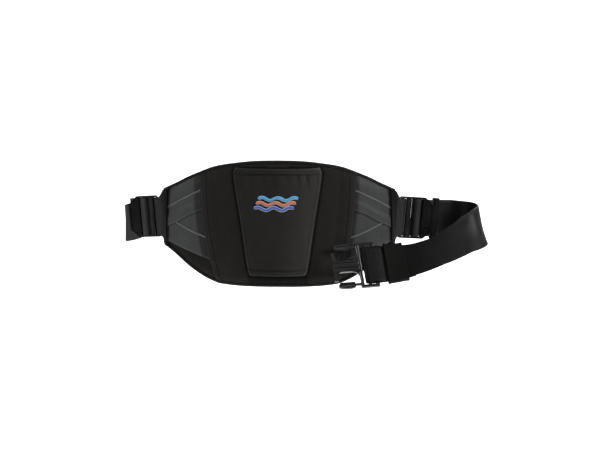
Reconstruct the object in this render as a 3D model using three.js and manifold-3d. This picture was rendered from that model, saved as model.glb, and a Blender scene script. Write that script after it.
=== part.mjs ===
// A wading belt, shown open: a curved lumbar pad with a net sleeve on its outer face, two elastic
// bands on each wing, a ladder lock at each neck, and webbing that ends in a side-release buckle.
// Millimetres. X runs to the right of the outer face, Y from it towards the wearer, Z up.
// The origin is the middle of the pad's inner face, where it meets the wearer's back.

import * as THREE from 'three';
import { mergeVertices } from 'three/addons/utils/BufferGeometryUtils.js';
import Module from 'manifold-3d';

const wasm = await Module();
wasm.setup();

// Thickness of each kind of sheet, and the gap that touching pieces keep
const FABRIC = 1.5;
const ELASTIC = 1.2;
const WEBBING = 1.6;
const GAP = 0.5;
const WEBBING_WIDTH = 50;

// The pad's inner face is part of a drum. Along is measured round it from the middle.
const PAD_RADIUS = 330;
const PAD_RIM = 4;
const PAD_RAMP = 14;
const PAD_END = 157.5;

// Upper and lower edge of the pad and its full thickness, from the middle to the neck
const PAD_OUTLINE = [
  { along: 0, top: 82, bottom: -82, thick: 12 },
  { along: 30, top: 81.2, bottom: -82, thick: 12 },
  { along: 58, top: 78, bottom: -81, thick: 12 },
  { along: 82, top: 73.5, bottom: -78, thick: 11.5 },
  { along: 101, top: 66.5, bottom: -70, thick: 9.5 },
  { along: 120, top: 58.5, bottom: -58.5, thick: 8 },
  { along: 135, top: 51, bottom: -47, thick: 6.5 },
  { along: 148, top: 45, bottom: -38, thick: 5 },
  { along: 158, top: 40.5, bottom: -32, thick: 4.2 },
];

// Side seam of the middle panel, from its foot up
const PANEL_SEAM = [
  { height: -80, along: 80 },
  { height: -59, along: 85 },
  { height: -20, along: 92.5 },
  { height: 16, along: 97 },
  { height: 67, along: 99.5 },
];
const PANEL_GAP = 0.7;
const PANEL_INSET = 1.5;
const PANEL_LAP = 7;
const PANEL_SLOPE_START = 22;
const PANEL_SLOPE_END = 9;
const PANEL_FOOT_FLAT = -56;
const PANEL_FOOT_RAISED = -48;

// Edges of the two elastic bands on a wing, from under the panel to the neck
const BAND_EDGES = [
  { along: 76, upperLow: 24, lowerTop: 30, lowerLow: -52 },
  { along: 96, upperLow: 17.5, lowerTop: 23.5, lowerLow: -46 },
  { along: 114, upperLow: 10.5, lowerTop: 16.5, lowerLow: -40 },
  { along: 131, upperLow: 1, lowerTop: 7, lowerLow: -34.5 },
  { along: 150, upperLow: -8, lowerTop: -2, lowerLow: -27.5 },
];
const BAND_END = 152;
const BAND_INSET = 1;
const BAND_STEP_START = 3;
const BAND_STEP_END = 11;

// Net sleeve: half width and stand-off of its front, from its lower to its upper edge
const SLEEVE_ROWS = [
  { height: -66, half: 35.5, bulge: 10.5 },
  { height: -60, half: 38, bulge: 11.5 },
  { height: 8, half: 47.5, bulge: 14 },
  { height: 67, half: 56, bulge: 13 },
  { height: 75, half: 54, bulge: 12 },
];
const SLEEVE_MARGIN = 5;
const SLEEVE_ROUNDNESS = 2.2;
const SLEEVE_FULLNESS = 0.8;

// Ladder lock, in its own frame: X away from the pad, Y across the webbing, Z out of its face
const LOCK = {
  back: -19, front: 20, tabEnd: 32, halfWidth: 27.8, rail: 2.4, railTop: 3, railFoot: -2.6, nose: 2,
  corner: 3.5, tabHalf: 17, tabRise: 4.5, tabThick: 2.6, tabFoot: -0.6, tabLap: 2, tabRim: 2.2,
  tabDish: 1.2, notch: 1.4, ledge: 1,
};
const LOCK_BARS = [
  { name: 'fixed', from: -19, to: -13, foot: -1.8, top: 1.8 },
  { name: 'middle', from: -8, to: -0.6, foot: -1.8, top: 2.4 },
  { name: 'locking', from: 6.5, to: 12.5, foot: -1.6, top: 1.8 },
  { name: 'tab root', from: 17, to: 20, foot: -1.2, top: 2.2 },
];
const LOCK_BAR_INSET = 16;
const LOCK_DROOP = 6;
const NECK = { along: 165.8, height: 4.5, stand: 2.5 };
const LOCK_YAW = { left: 33, right: 28 };

// Neck loop round the lock's fixed bar: along the pad, then in the lock's frame, and back
const LOOP_FRONT = [
  { along: 145, stand: 4.9, half: 41 },
  { along: 151, stand: 4.8, half: 39 },
  { along: 156, stand: 3.4, half: 35.5 },
  { along: 159, stand: 2, half: 25.2 },
];
const LOOP_ROUND_BAR = [
  { x: -18.6, z: 3.3 },
  { x: -15.2, z: 3.1 },
  { x: -12.4, z: 2.2 },
  { x: -11.4, z: 0 },
  { x: -12.4, z: -2.2 },
  { x: -15.2, z: -3.1 },
  { x: -18.6, z: -3.4 },
];
const LOOP_BACK = [
  { along: 159, stand: -2, half: 25.2 },
  { along: 156, stand: -1.8, half: 35.5 },
  { along: 151, stand: -1.5, half: 39 },
  { along: 145, stand: -1.4, half: 41 },
];
const LOOP_MIDDLE = [
  { along: 145, height: 4.9 },
  { along: 151, height: 5.2 },
  { along: 156, height: 5.3 },
  { along: 160, height: 5 },
];

// Webbing through a ladder lock, from its hemmed tail over the locking bar and back out
const LOCK_THREADING = [
  { x: 25, z: -3.7 },
  { x: 19.5, z: -3.2 },
  { x: 16.2, z: -2.2 },
  { x: 14.7, z: 0 },
  { x: 13.6, z: 2.2 },
  { x: 11.2, z: 3.2 },
  { x: 7.6, z: 3.2 },
  { x: 5, z: 2.2 },
  { x: 3.6, z: 0 },
  { x: 3, z: -2.6 },
  { x: 4.6, z: -5 },
  { x: 8.5, z: -5.9 },
];
const TAIL_RIGHT = [{ x: 47.5, z: -3.9 }, { x: 36, z: -3.9 }];
const TAIL_LEFT = [{ x: 37, z: -3.9 }];
const OUT_RIGHT = [{ x: 19, z: -6.1 }, { x: 30, z: -6.2 }, { x: 38, z: -6.2 }];

// Free run of the right strap: its middle line, and how far its upper edge leans in degrees,
// towards the inside of the bend
const RIGHT_RUN = [
  { x: 215.2, y: 75, z: -1.6, lean: 0 },
  { x: 230, y: 81.5, z: -2.8, lean: -3 },
  { x: 243.5, y: 80.5, z: -4, lean: -4 },
  { x: 255.5, y: 73, z: -4.2, lean: 0 },
  { x: 264.5, y: 59, z: -4.2, lean: 6 },
  { x: 269, y: 40, z: -4.8, lean: 12 },
  { x: 263.5, y: 20, z: -8.2, lean: 25 },
  { x: 241, y: 4, z: -19.2, lean: 48 },
  { x: 209, y: -2.5, z: -35, lean: 52 },
  { x: 179, y: -6, z: -45, lean: 46 },
  { x: 154, y: -8.8, z: -49.3, lean: 36 },
  { x: 138, y: -11.8, z: -50.6, lean: 31 },
  { x: 129, y: -14.2, z: -51, lean: 30 },
];
const MALE_REACH = 24;

// Left strap beyond its lock, in the lock's frame: it sags, turns back sharply and rises again.
// Skew is how far its upper edge lies outward of square, per unit of width.
const LEFT_TURN = [
  { x: 18, y: -1.6, z: -6.1, skew: -0.05 },
  { x: 28, y: -4.4, z: -6.3, skew: -0.1 },
  { x: 38, y: -7, z: -6.6, skew: -0.12 },
  { x: 48, y: -8.6, z: -7.4, skew: -0.12 },
  { x: 54, y: -9.2, z: -9.8, skew: -0.12 },
  { x: 56, y: -9.2, z: -13.5, skew: -0.12 },
  { x: 54, y: -8.7, z: -17.6, skew: -0.12 },
  { x: 47, y: -7.2, z: -20.8, skew: -0.1 },
  { x: 36, y: -5.2, z: -23.6, skew: -0.05 },
];

// Free run of the left strap behind the pad
const LEFT_RUN = [
  { x: -172, y: 83.5, z: -4.6, lean: 0 },
  { x: -150, y: 79.5, z: -6, lean: 0 },
  { x: -115, y: 70, z: -10.5, lean: 0 },
  { x: -75, y: 60, z: -15, lean: 0 },
  { x: -35, y: 53, z: -18, lean: 0 },
  { x: 0, y: 50, z: -19, lean: 0 },
];
const FEMALE_REACH = 21;

// Side-release buckle, in its own frame: X towards the tip, Y up across the webbing. The webbing
// shows on the male half's lower side of Z and on the female half's upper one.
const MALE = {
  railEnd: -24, railHalf: 29, railWidth: 3.6, railTop: 2.6, tip: 35, guideHalf: 7.6, flangeHalf: 19.5,
  flange: 5, armHalf: 25.6, armWidth: 3, headFrom: 8.5, headTo: 30.5, headOut: 30.6, headIn: 22,
  thick: 5, ridge: 1.1, lap: 1, slotHalf: 1.4, slotInset: 4, headRound: 6, springInset: 0.6,
};
const MALE_BARS = [
  { name: 'base', from: -4, to: 0.5, foot: -2.4, top: 2.4 },
  { name: 'holding', from: -14.5, to: -9.5, foot: -1.6, top: 1.7 },
  { name: 'end', from: -24, to: -19.5, foot: -1.6, top: 1.7 },
];
const MALE_THREADING = [
  { x: -33, z: -1.2 },
  { x: -26, z: -2.7 },
  { x: -21.5, z: -3 },
  { x: -15, z: -3.1 },
  { x: -10.5, z: -3 },
  { x: -7.6, z: -2 },
  { x: -6.7, z: 0 },
  { x: -7.6, z: 2 },
  { x: -10.5, z: 3 },
  { x: -16, z: 3.1 },
  { x: -22, z: 3.1 },
  { x: -27, z: 2.9 },
];
const FEMALE = {
  barX: -21, mouth: 44, halfWidth: 32, halfThick: 7.5, wall: 2.2, floor: 6, windowFrom: 12,
  windowTo: 36, windowHalfThick: 3.4, corner: 9, neckHalf: 29, railHalf: 27.4, railWidth: 3, railTop: 2.4,
  lap: 1,
};
const FEMALE_BAR = { from: -21, to: -16, foot: -1.6, top: 1.6 };
const FEMALE_THREADING = [
  { x: -28, z: 2.6 },
  { x: -22, z: 2.9 },
  { x: -17, z: 2.9 },
  { x: -14.6, z: 1.8 },
  { x: -14, z: 0 },
  { x: -14.6, z: -1.8 },
  { x: -17, z: -2.9 },
  { x: -22, z: -2.9 },
  { x: -30, z: -1.6 },
  { x: -48, z: -1.1 },
];

// Tail of the right strap behind it, and the two keepers that hold tails down
const TAIL_BEHIND = 2.2;
const TAIL_STATIONS = { first: 0.6, last: 2.9, count: 6 };
const KEEPER = { wall: 1.2, halfWidth: 26.4, inside: 2.8 };
const KEEPER_FRONT = { from: 9.45, to: 10.75 };
const KEEPER_RIGHT = { from: 37, to: 44, middle: -5.1, inside: 2.6 };

// Grid of the soft sheets and of the webbing
const GRID = {
  padAlong: 44, padUp: 16, panelAlong: 22, panelUp: 16, bandAlong: 10, bandUp: 12,
  sleeveAcross: 16, sleeveUp: 14, stepsPerStation: 4, edgeSides: 3,
};

// Finishes
const finish = (color, roughness) => new THREE.MeshStandardMaterial({ color, roughness, metalness: 0 });
const PAD_CLOTH = finish(0x1c1b19, 0.9);
const PANEL_CLOTH = finish(0x1e1d1a, 0.9);
const SLEEVE_CLOTH = finish(0x262524, 0.85);
const ELASTIC_CLOTH = finish(0x3a3d3f, 0.6);
const STRAP_CLOTH = finish(0x2b2926, 0.75);
const BLACK_PLASTIC = finish(0x141414, 0.35);

const { clamp, lerp, smoothstep, degToRad } = THREE.MathUtils;

// One column of a table at a place between its rows: a cubic that passes through each row with
// the slope of the line between its neighbours.
function tableAt(rows, key, column, at) {
  const last = rows.length - 1;
  let row = 0;
  while (row < last - 1 && rows[row + 1][key] < at) row += 1;
  const pick = (k) => rows[clamp(k, 0, last)];
  const slope = (k) => (pick(k + 1)[column] - pick(k - 1)[column]) / (pick(k + 1)[key] - pick(k - 1)[key]);
  const span = pick(row + 1)[key] - pick(row)[key];
  const t = clamp((at - pick(row)[key]) / span, 0, 1);
  const rise = t * t * (3 - 2 * t);
  const leave = t * (1 - t) * (1 - t) * span;
  const arrive = t * t * (1 - t) * span;
  return lerp(pick(row)[column], pick(row + 1)[column], rise) + leave * slope(row) - arrive * slope(row + 1);
}

// Spreads grid lines so that they stand closer towards both ends.
const eased = (t) => (1 - Math.cos(Math.PI * t)) / 2;

// A point at a distance along the pad, a height, and a stand-off from its inner face.
function onDrum(along, height, stand) {
  const turn = along / PAD_RADIUS;
  const reach = PAD_RADIUS + stand;
  return new THREE.Vector3(reach * Math.sin(turn), PAD_RADIUS - reach * Math.cos(turn), height);
}

const padTop = (along) => tableAt(PAD_OUTLINE, 'along', 'top', Math.abs(along));
const padBottom = (along) => tableAt(PAD_OUTLINE, 'along', 'bottom', Math.abs(along));

// The pad's outer face over its inner one: full inside, rolling down to the rim at its edges.
function padFace(along, height) {
  const full = tableAt(PAD_OUTLINE, 'along', 'thick', Math.abs(along));
  const inside = clamp(Math.min(padTop(along) - height, height - padBottom(along)) / PAD_RAMP, 0, 1);
  return PAD_RIM + (full - PAD_RIM) * Math.sin((inside * Math.PI) / 2);
}

// How far the middle panel lies over the pad: close to it, and raised over the ends of the bands.
function panelLift(along, height) {
  const seam = tableAt(PANEL_SEAM, 'height', 'along', height);
  const side = smoothstep(Math.abs(along), seam - PANEL_SLOPE_START, seam - PANEL_SLOPE_END);
  const foot = smoothstep(height, PANEL_FOOT_FLAT, PANEL_FOOT_RAISED);
  return PANEL_GAP + side * foot * 2 * (ELASTIC + GAP);
}

// A closed sheet: a box whose grid is carried onto a surface. place gives the point for s and t
// from 0 to 1 across it, and r from 0 on its back to 1 on its front.
function sheet(alongCount, acrossCount, place) {
  const geometry = new THREE.BoxGeometry(1, 1, 1, alongCount, acrossCount, 1);
  const position = geometry.attributes.position;
  for (let i = 0; i < position.count; i += 1) {
    const point = place(position.getX(i) + 0.5, position.getY(i) + 0.5, position.getZ(i) + 0.5);
    position.setXYZ(i, point.x, point.y, point.z);
  }
  return bare(geometry);
}

// Only position is left, and shared corners are one vertex, so the surface is closed.
function bare(geometry) {
  geometry.deleteAttribute('normal');
  geometry.deleteAttribute('uv');
  return mergeVertices(geometry, 1e-4);
}

function toSolid(geometry) {
  const merged = bare(geometry.clone());
  return new wasm.Manifold(new wasm.Mesh({
    numProp: 3,
    vertProperties: merged.attributes.position.array,
    triVerts: new Uint32Array(merged.index.array),
  }));
}

function toGeometry(solid) {
  const { vertProperties, triVerts } = solid.getMesh();
  const geometry = new THREE.BufferGeometry();
  geometry.setAttribute('position', new THREE.BufferAttribute(vertProperties, 3));
  geometry.setIndex(new THREE.BufferAttribute(triVerts, 1));
  return geometry;
}

const joined = (solids) => solids.reduce((whole, next) => whole.add(next));

// A named piece in its finish.
function piece(name, geometry, material) {
  const flat = geometry.index ? geometry.toNonIndexed() : geometry;
  flat.computeVertexNormals();
  const mesh = new THREE.Mesh(flat, material);
  mesh.name = name;
  return mesh;
}

// Lumbar pad and middle panel

function lumbarPad() {
  return sheet(GRID.padAlong, GRID.padUp, (s, t, r) => {
    const along = lerp(-PAD_END, PAD_END, s);
    const height = lerp(padBottom(along), padTop(along), eased(t));
    return onDrum(along, height, r * padFace(along, height));
  });
}

function centrePanel() {
  return sheet(GRID.panelAlong, GRID.panelUp, (s, t, r) => {
    const rough = lerp(padBottom(0), padTop(0), eased(t));
    const seam = tableAt(PANEL_SEAM, 'height', 'along', rough);
    const along = lerp(-seam, seam, eased(s));
    const height = lerp(padBottom(along) + PANEL_INSET, padTop(along) - PANEL_INSET, eased(t));
    return onDrum(along, height, padFace(along, height) + panelLift(along, height) + r * FABRIC);
  });
}

// Elastic bands of the right wing. Each tucks under the panel and under the neck loop.

function wingBand(lowEdge, topEdge, lift) {
  return sheet(GRID.bandAlong, GRID.bandUp, (s, t, r) => {
    const rough = lerp(PANEL_SEAM[0].along, BAND_END, s);
    const guess = lerp(lowEdge(rough), topEdge(rough), eased(t));
    const inner = tableAt(PANEL_SEAM, 'height', 'along', guess) - PANEL_LAP;
    const along = lerp(inner, BAND_END, s);
    const height = lerp(lowEdge(along), topEdge(along), eased(t));
    return onDrum(along, height, padFace(along, height) + lift(along, height) + r * ELASTIC);
  });
}

function upperBand() {
  const low = (along) => tableAt(BAND_EDGES, 'along', 'upperLow', along);
  const top = (along) => padTop(along) - BAND_INSET;
  return wingBand(low, top, (along, height) => {
    const lap = tableAt(BAND_EDGES, 'along', 'lowerTop', along);
    const down = smoothstep(height, lap + BAND_STEP_START, lap + BAND_STEP_END);
    return GAP + (ELASTIC + GAP) * (1 - down);
  });
}

function lowerBand() {
  const low = (along) => tableAt(BAND_EDGES, 'along', 'lowerLow', along);
  const top = (along) => tableAt(BAND_EDGES, 'along', 'lowerTop', along);
  return wingBand(low, top, () => GAP);
}

// Net sleeve: a trapezoid of cloth stitched down along both sides and open above and below.

function netSleeve() {
  const foot = SLEEVE_ROWS[0].height;
  const head = SLEEVE_ROWS[SLEEVE_ROWS.length - 1].height;
  return sheet(GRID.sleeveAcross, GRID.sleeveUp, (s, t, r) => {
    const height = lerp(foot, head, eased(t));
    const half = tableAt(SLEEVE_ROWS, 'height', 'half', height);
    const along = lerp(-half, half, eased(s));
    const open = clamp(Math.abs(along) / (half - SLEEVE_MARGIN), 0, 1);
    const arch = (1 - open ** SLEEVE_ROUNDNESS) ** SLEEVE_FULLNESS;
    const bulge = tableAt(SLEEVE_ROWS, 'height', 'bulge', height) * arch;
    const under = padFace(along, height) + panelLift(along, height) + FABRIC + GAP;
    return onDrum(along, height, under + bulge + r * FABRIC);
  });
}

// A bar across a lock or buckle: a rounded section in X and Z, carried along Y.
function crossBar({ from, to, foot, top }, halfLength) {
  const round = Math.min(to - from, top - foot) / 3;
  const section = new THREE.Shape();
  section.moveTo(from + round, foot);
  section.lineTo(to - round, foot);
  section.quadraticCurveTo(to, foot, to, foot + round);
  section.lineTo(to, top - round);
  section.quadraticCurveTo(to, top, to - round, top);
  section.lineTo(from + round, top);
  section.quadraticCurveTo(from, top, from, top - round);
  section.lineTo(from, foot + round);
  section.quadraticCurveTo(from, foot, from + round, foot);
  return toSolid(acrossY(section, -halfLength, halfLength));
}

// A section in X and Z carried along Y from one place to another.
function acrossY(section, fromY, toY) {
  const options = { depth: toY - fromY, bevelEnabled: false, curveSegments: GRID.edgeSides };
  const geometry = new THREE.ExtrudeGeometry(section, options);
  geometry.rotateX(Math.PI / 2);
  geometry.translate(0, toY, 0);
  return geometry;
}

// An outline in X and Y carried along Z from one height to another.
function alongZ(outline, fromZ, toZ) {
  const options = { depth: toZ - fromZ, bevelEnabled: false, curveSegments: 2 * GRID.edgeSides };
  const geometry = new THREE.ExtrudeGeometry(outline, options);
  geometry.translate(0, 0, fromZ);
  return geometry;
}

function polygon(points) {
  return new THREE.Shape(points.map(([x, y]) => new THREE.Vector2(x, y)));
}

// A bar along X, in plan from one side of Y to the other.
function block(fromX, toX, fromY, toY, fromZ, toZ) {
  return toSolid(alongZ(polygon([[fromX, fromY], [toX, fromY], [toX, toY], [fromX, toY]]), fromZ, toZ));
}

// Ladder lock: two rails, four bars and a lifting tab, moulded in one.

function ladderLock() {
  const { back, front, halfWidth, rail, railTop, railFoot, nose, corner } = LOCK;
  const railSide = polygon([
    [back, railFoot + nose], [back + nose, railFoot], [front - nose, railFoot], [front, railFoot + nose],
    [front, railTop - nose], [front - nose, railTop], [back + nose, railTop], [back, railTop - nose],
  ]);
  const rails = [
    toSolid(acrossY(railSide, halfWidth - rail, halfWidth)),
    toSolid(acrossY(railSide, -halfWidth, rail - halfWidth)),
  ];
  const bars = LOCK_BARS.map((bar) => crossBar(bar, halfWidth - rail / 2));
  const middle = LOCK_BARS[1];
  const [ledgeFrom, ledgeTo] = [middle.to - LOCK.ledge, middle.to + LOCK.notch];
  const ledge = block(ledgeFrom, ledgeTo, rail - halfWidth, 0, middle.foot, middle.top - LOCK.ledge);
  const plan = polygon([
    [back + corner, -halfWidth], [2 * front, -halfWidth], [2 * front, halfWidth], [back + corner, halfWidth],
    [back, halfWidth - corner], [back, corner - halfWidth],
  ]);
  const outline = toSolid(alongZ(plan, 2 * railFoot, 2 * railTop));
  return toGeometry(joined([...rails, ...bars, ledge]).intersect(outline).add(lockTab()));
}

// The tab slopes up from the front of the frame and narrows to its rim, dished inside it.
function lockTab() {
  const { front, tabEnd, halfWidth, tabHalf, tabRise, tabThick, tabFoot, tabRim, tabDish } = LOCK;
  const root = front - LOCK.tabLap;
  const slope = tabRise / (tabEnd - root);
  const side = polygon([
    [root, tabFoot], [tabEnd, tabRise + tabFoot], [tabEnd, tabRise + tabThick], [root, tabThick],
  ]);
  const plan = (inset) => polygon([
    [root - inset, inset - halfWidth], [front + inset, inset - halfWidth], [tabEnd - inset, inset - tabHalf],
    [tabEnd - inset, tabHalf - inset], [front + inset, halfWidth - inset], [root - inset, halfWidth - inset],
  ]);
  const top = tabRise + 2 * tabThick;
  const body = toSolid(acrossY(side, -halfWidth, halfWidth)).intersect(toSolid(alongZ(plan(0), -top, top)));
  const dish = toSolid(acrossY(polygon([
    [front + tabRim, tabThick + slope * (front + tabRim - root) - tabDish],
    [tabEnd, tabRise + tabThick - tabDish],
    [tabEnd, top], [front + tabRim, top],
  ]), -halfWidth, halfWidth)).intersect(toSolid(alongZ(plan(tabRim), -top, top)));
  return body.subtract(dish);
}

// Frame of the right-hand ladder lock, turned away from the viewer. The left one mirrors it.
function lockFrame(yaw) {
  const turn = degToRad(yaw);
  const droop = degToRad(LOCK_DROOP);
  const level = new THREE.Vector3(Math.cos(turn), Math.sin(turn), 0);
  const outward = level.clone().multiplyScalar(Math.cos(droop)).setZ(-Math.sin(droop));
  const face = new THREE.Vector3(Math.sin(turn), -Math.cos(turn), 0);
  const across = face.clone().cross(outward);
  const bar = onDrum(NECK.along, NECK.height, NECK.stand);
  const origin = bar.clone().addScaledVector(outward, LOCK_BAR_INSET);
  return { origin, outward, across, face };
}

// The same frame on the other side of the pad.
function mirrored(frame) {
  const flip = new THREE.Vector3(-1, 1, 1);
  const { origin, outward, across, face } = frame;
  const flipped = (vector) => vector.clone().multiply(flip);
  return { origin: flipped(origin), outward: flipped(outward), across: flipped(across), face: flipped(face) };
}

// A point of a lock's or buckle's own frame, in the belt's.
function inFrame(frame, x, z) {
  return frame.origin.clone().addScaledVector(frame.outward, x).addScaledVector(frame.face, z);
}

function frameMatrix(frame) {
  return new THREE.Matrix4().makeBasis(frame.outward, frame.across, frame.face).setPosition(frame.origin);
}

// Webbing: a ribbon along stations, each a point, the direction across the webbing and half a width.
// Position runs on a smooth curve through the stations, and the ribbon's face turns with it.
function ribbon(stations, thickness, steps) {
  const line = smoothLine(stations);
  return sheet(steps, 1, (s, t, r) => {
    const { point, across, normal, half } = line(s);
    return point.addScaledVector(across, (2 * t - 1) * half).addScaledVector(normal, (r - 0.5) * thickness);
  });
}

// The frame of a ribbon at a share s of its stations.
function smoothLine(stations) {
  const curve = new THREE.CatmullRomCurve3(stations.map((station) => station.point), false, 'centripetal');
  const last = stations.length - 1;
  return (s) => {
    const before = Math.min(Math.floor(s * last), last - 1);
    const part = s * last - before;
    const point = curve.getPoint(s);
    const ahead = curve.getTangent(s);
    const across = stations[before].across.clone().lerp(stations[before + 1].across, part);
    across.addScaledVector(ahead, -across.dot(ahead)).normalize();
    const normal = ahead.clone().cross(across);
    const half = lerp(stations[before].half, stations[before + 1].half, part);
    return { point, ahead, across, normal, half };
  };
}

// Stations of a free run, from its table. The webbing stands upright where lean is 0.
function freeStations(rows) {
  const curve = new THREE.CatmullRomCurve3(rows.map((row) => new THREE.Vector3(row.x, row.y, row.z)));
  const up = new THREE.Vector3(0, 0, 1);
  return rows.map((row, i) => {
    const ahead = curve.getTangent(i / (rows.length - 1));
    const upright = up.clone().addScaledVector(ahead, -up.dot(ahead)).normalize();
    const across = upright.applyAxisAngle(ahead, degToRad(row.lean));
    return { point: new THREE.Vector3(row.x, row.y, row.z), across, half: WEBBING_WIDTH / 2 };
  });
}

const strap = (stations) => ribbon(stations, WEBBING, GRID.stepsPerStation * (stations.length - 1));

function framedStations(frame, rows) {
  return rows.map(({ x, y = 0, z, skew = 0 }) => ({
    point: inFrame(frame, x, z).addScaledVector(frame.across, y),
    across: frame.across.clone().addScaledVector(frame.outward, skew),
    half: WEBBING_WIDTH / 2,
  }));
}

// Loop of webbing that holds the lock: down the front of the neck, round the fixed bar and back.
function neckLoop(frame) {
  const leaf = (rows) => rows.map(({ along, stand, half }) => {
    const height = tableAt(LOOP_MIDDLE, 'along', 'height', along);
    const over = stand > 0 ? tableAt(PAD_OUTLINE, 'along', 'thick', along) : 0;
    return { point: onDrum(along, height, over + stand), across: new THREE.Vector3(0, 0, 1), half };
  });
  const round = framedStations(frame, LOOP_ROUND_BAR);
  const stations = [...leaf(LOOP_FRONT), ...round, ...leaf(LOOP_BACK)];
  return ribbon(stations, FABRIC, GRID.stepsPerStation * (stations.length - 1));
}

// The frame of a buckle half that stands a reach beyond the end of a strap's free run.
function buckleFrame(run, reach) {
  const { point, ahead, across, normal } = smoothLine(run)(1);
  return { origin: point.addScaledVector(ahead, reach), outward: ahead, across, face: normal };
}

// The strap's whole way: its tail, the lock, the free run, the male half and the tail behind it.
function rightStrapStations(lock, run, male) {
  const free = smoothLine(run);
  const last = run.length - 1;
  const { first, last: end, count } = TAIL_STATIONS;
  const tail = Array.from({ length: count }, (_, i) => {
    const back = lerp(first, end, i / (count - 1));
    const { point, across, normal, half } = free(1 - back / last);
    return { point: point.addScaledVector(normal, TAIL_BEHIND), across, half };
  });
  return [
    ...framedStations(lock, [...TAIL_RIGHT, ...LOCK_THREADING, ...OUT_RIGHT]),
    ...run.slice(0, last),
    ...framedStations(male, MALE_THREADING),
    ...tail,
  ];
}

function leftStrapStations(lock, run, female) {
  return [
    ...framedStations(lock, [...TAIL_LEFT, ...LOCK_THREADING, ...LEFT_TURN]),
    ...run.slice(0, run.length - 1),
    ...framedStations(female, FEMALE_THREADING),
  ];
}

// A keeper: a flat ring of elastic round the webbing, carried along a stretch of it.
function keeper(place, inside) {
  const { wall, halfWidth } = KEEPER;
  const outline = (reach, height) => [
    [-reach, -height + wall], [-reach + wall, -height], [reach - wall, -height], [reach, -height + wall],
    [reach, height - wall], [reach - wall, height], [-reach + wall, height], [-reach, height - wall],
  ];
  const ring = polygon(outline(halfWidth + wall, inside + wall));
  ring.holes.push(new THREE.Path(outline(halfWidth, inside).map(([x, y]) => new THREE.Vector2(x, y))));
  const options = { depth: 1, steps: 2 * GRID.edgeSides, bevelEnabled: false };
  const geometry = new THREE.ExtrudeGeometry(ring, options);
  const position = geometry.attributes.position;
  for (let i = 0; i < position.count; i += 1) {
    const point = place(position.getX(i), position.getY(i), position.getZ(i));
    position.setXYZ(i, point.x, point.y, point.z);
  }
  return bare(geometry);
}

function keeperFront(run) {
  const line = smoothLine(run);
  return keeper((across, out, share) => {
    const frame = line(lerp(KEEPER_FRONT.from, KEEPER_FRONT.to, share) / (run.length - 1));
    const stand = out + TAIL_BEHIND / 2;
    return frame.point.addScaledVector(frame.across, across).addScaledVector(frame.normal, stand);
  }, KEEPER.inside);
}

function keeperRight(lock) {
  return keeper((across, out, share) => {
    const x = lerp(KEEPER_RIGHT.from, KEEPER_RIGHT.to, share);
    return inFrame(lock, x, KEEPER_RIGHT.middle + out).addScaledVector(lock.across, across);
  }, KEEPER_RIGHT.inside);
}

// Male half: adjuster rails and bars, a T-ended guide with ridges, and two springing arms.

function buckleMale() {
  const m = MALE;
  const half = m.thick / 2;
  const solids = MALE_BARS.map((bar) => crossBar(bar, m.railHalf));
  const guide = new THREE.Shape();
  const fillet = m.flangeHalf - m.guideHalf;
  guide.moveTo(0, -m.flangeHalf);
  guide.quadraticCurveTo(0, -m.guideHalf, fillet, -m.guideHalf);
  guide.lineTo(m.tip - m.flange - fillet / 2, -m.guideHalf);
  guide.quadraticCurveTo(m.tip - m.flange, -m.guideHalf, m.tip - m.flange, -m.flangeHalf);
  guide.lineTo(m.tip, -m.flangeHalf);
  guide.lineTo(m.tip, m.flangeHalf);
  guide.lineTo(m.tip - m.flange, m.flangeHalf);
  guide.quadraticCurveTo(m.tip - m.flange, m.guideHalf, m.tip - m.flange - fillet / 2, m.guideHalf);
  guide.lineTo(fillet, m.guideHalf);
  guide.quadraticCurveTo(0, m.guideHalf, 0, m.flangeHalf);
  solids.push(toSolid(alongZ(guide, m.lap - half, half - m.lap)));
  for (const y of [-m.guideHalf + m.ridge, 0, m.guideHalf - m.ridge]) {
    solids.push(block(-m.lap, m.tip - m.flange / 2, y - m.ridge, y + m.ridge, -half, half));
  }
  for (const side of [-1, 1]) {
    solids.push(railOf(side, m));
    solids.push(armOf(side, m, half));
  }
  return toGeometry(joined(solids));
}

function railOf(side, m) {
  const [low, high] = [side * m.railHalf - m.railWidth / 2, side * m.railHalf + m.railWidth / 2];
  return block(m.railEnd, MALE_BARS[0].to, low, high, -m.railTop, m.railTop);
}

// An arm: a thin spring from the base that ends in a head with a slot through it.
function armOf(side, m, half) {
  const spring = polygon([
    [-m.lap, m.armHalf + m.armWidth / 2], [m.headFrom + m.lap, m.armHalf + m.armWidth / 2],
    [m.headFrom + m.lap, m.armHalf - m.armWidth / 2], [-m.lap, m.armHalf - m.armWidth / 2],
  ].map(([x, y]) => [x, side * y]));
  const head = new THREE.Shape();
  const middle = (m.headIn + m.headOut) / 2;
  head.moveTo(m.headFrom, side * m.headIn);
  head.lineTo(m.headTo - m.headRound, side * m.headIn);
  head.quadraticCurveTo(m.headTo, side * m.headIn, m.headTo, side * middle);
  head.quadraticCurveTo(m.headTo, side * m.headOut, m.headFrom + m.headRound, side * m.headOut);
  head.lineTo(m.headFrom, side * (m.headOut - m.lap));
  const [slotFrom, slotTo] = [m.headFrom + m.slotInset, m.headTo - m.slotInset];
  const slot = polygon([
    [slotFrom, side * (middle - m.slotHalf)], [slotTo, side * (middle - m.slotHalf)],
    [slotTo, side * (middle + m.slotHalf)], [slotFrom, side * (middle + m.slotHalf)],
  ]);
  const springSolid = toSolid(alongZ(spring, m.springInset - half, half - m.springInset));
  const headSolid = toSolid(alongZ(head, -half, half));
  return springSolid.add(headSolid.subtract(toSolid(alongZ(slot, -2 * half, 2 * half))));
}

// Female half: an open-mouthed shell with side windows for the arms, and a webbing bar.

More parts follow.
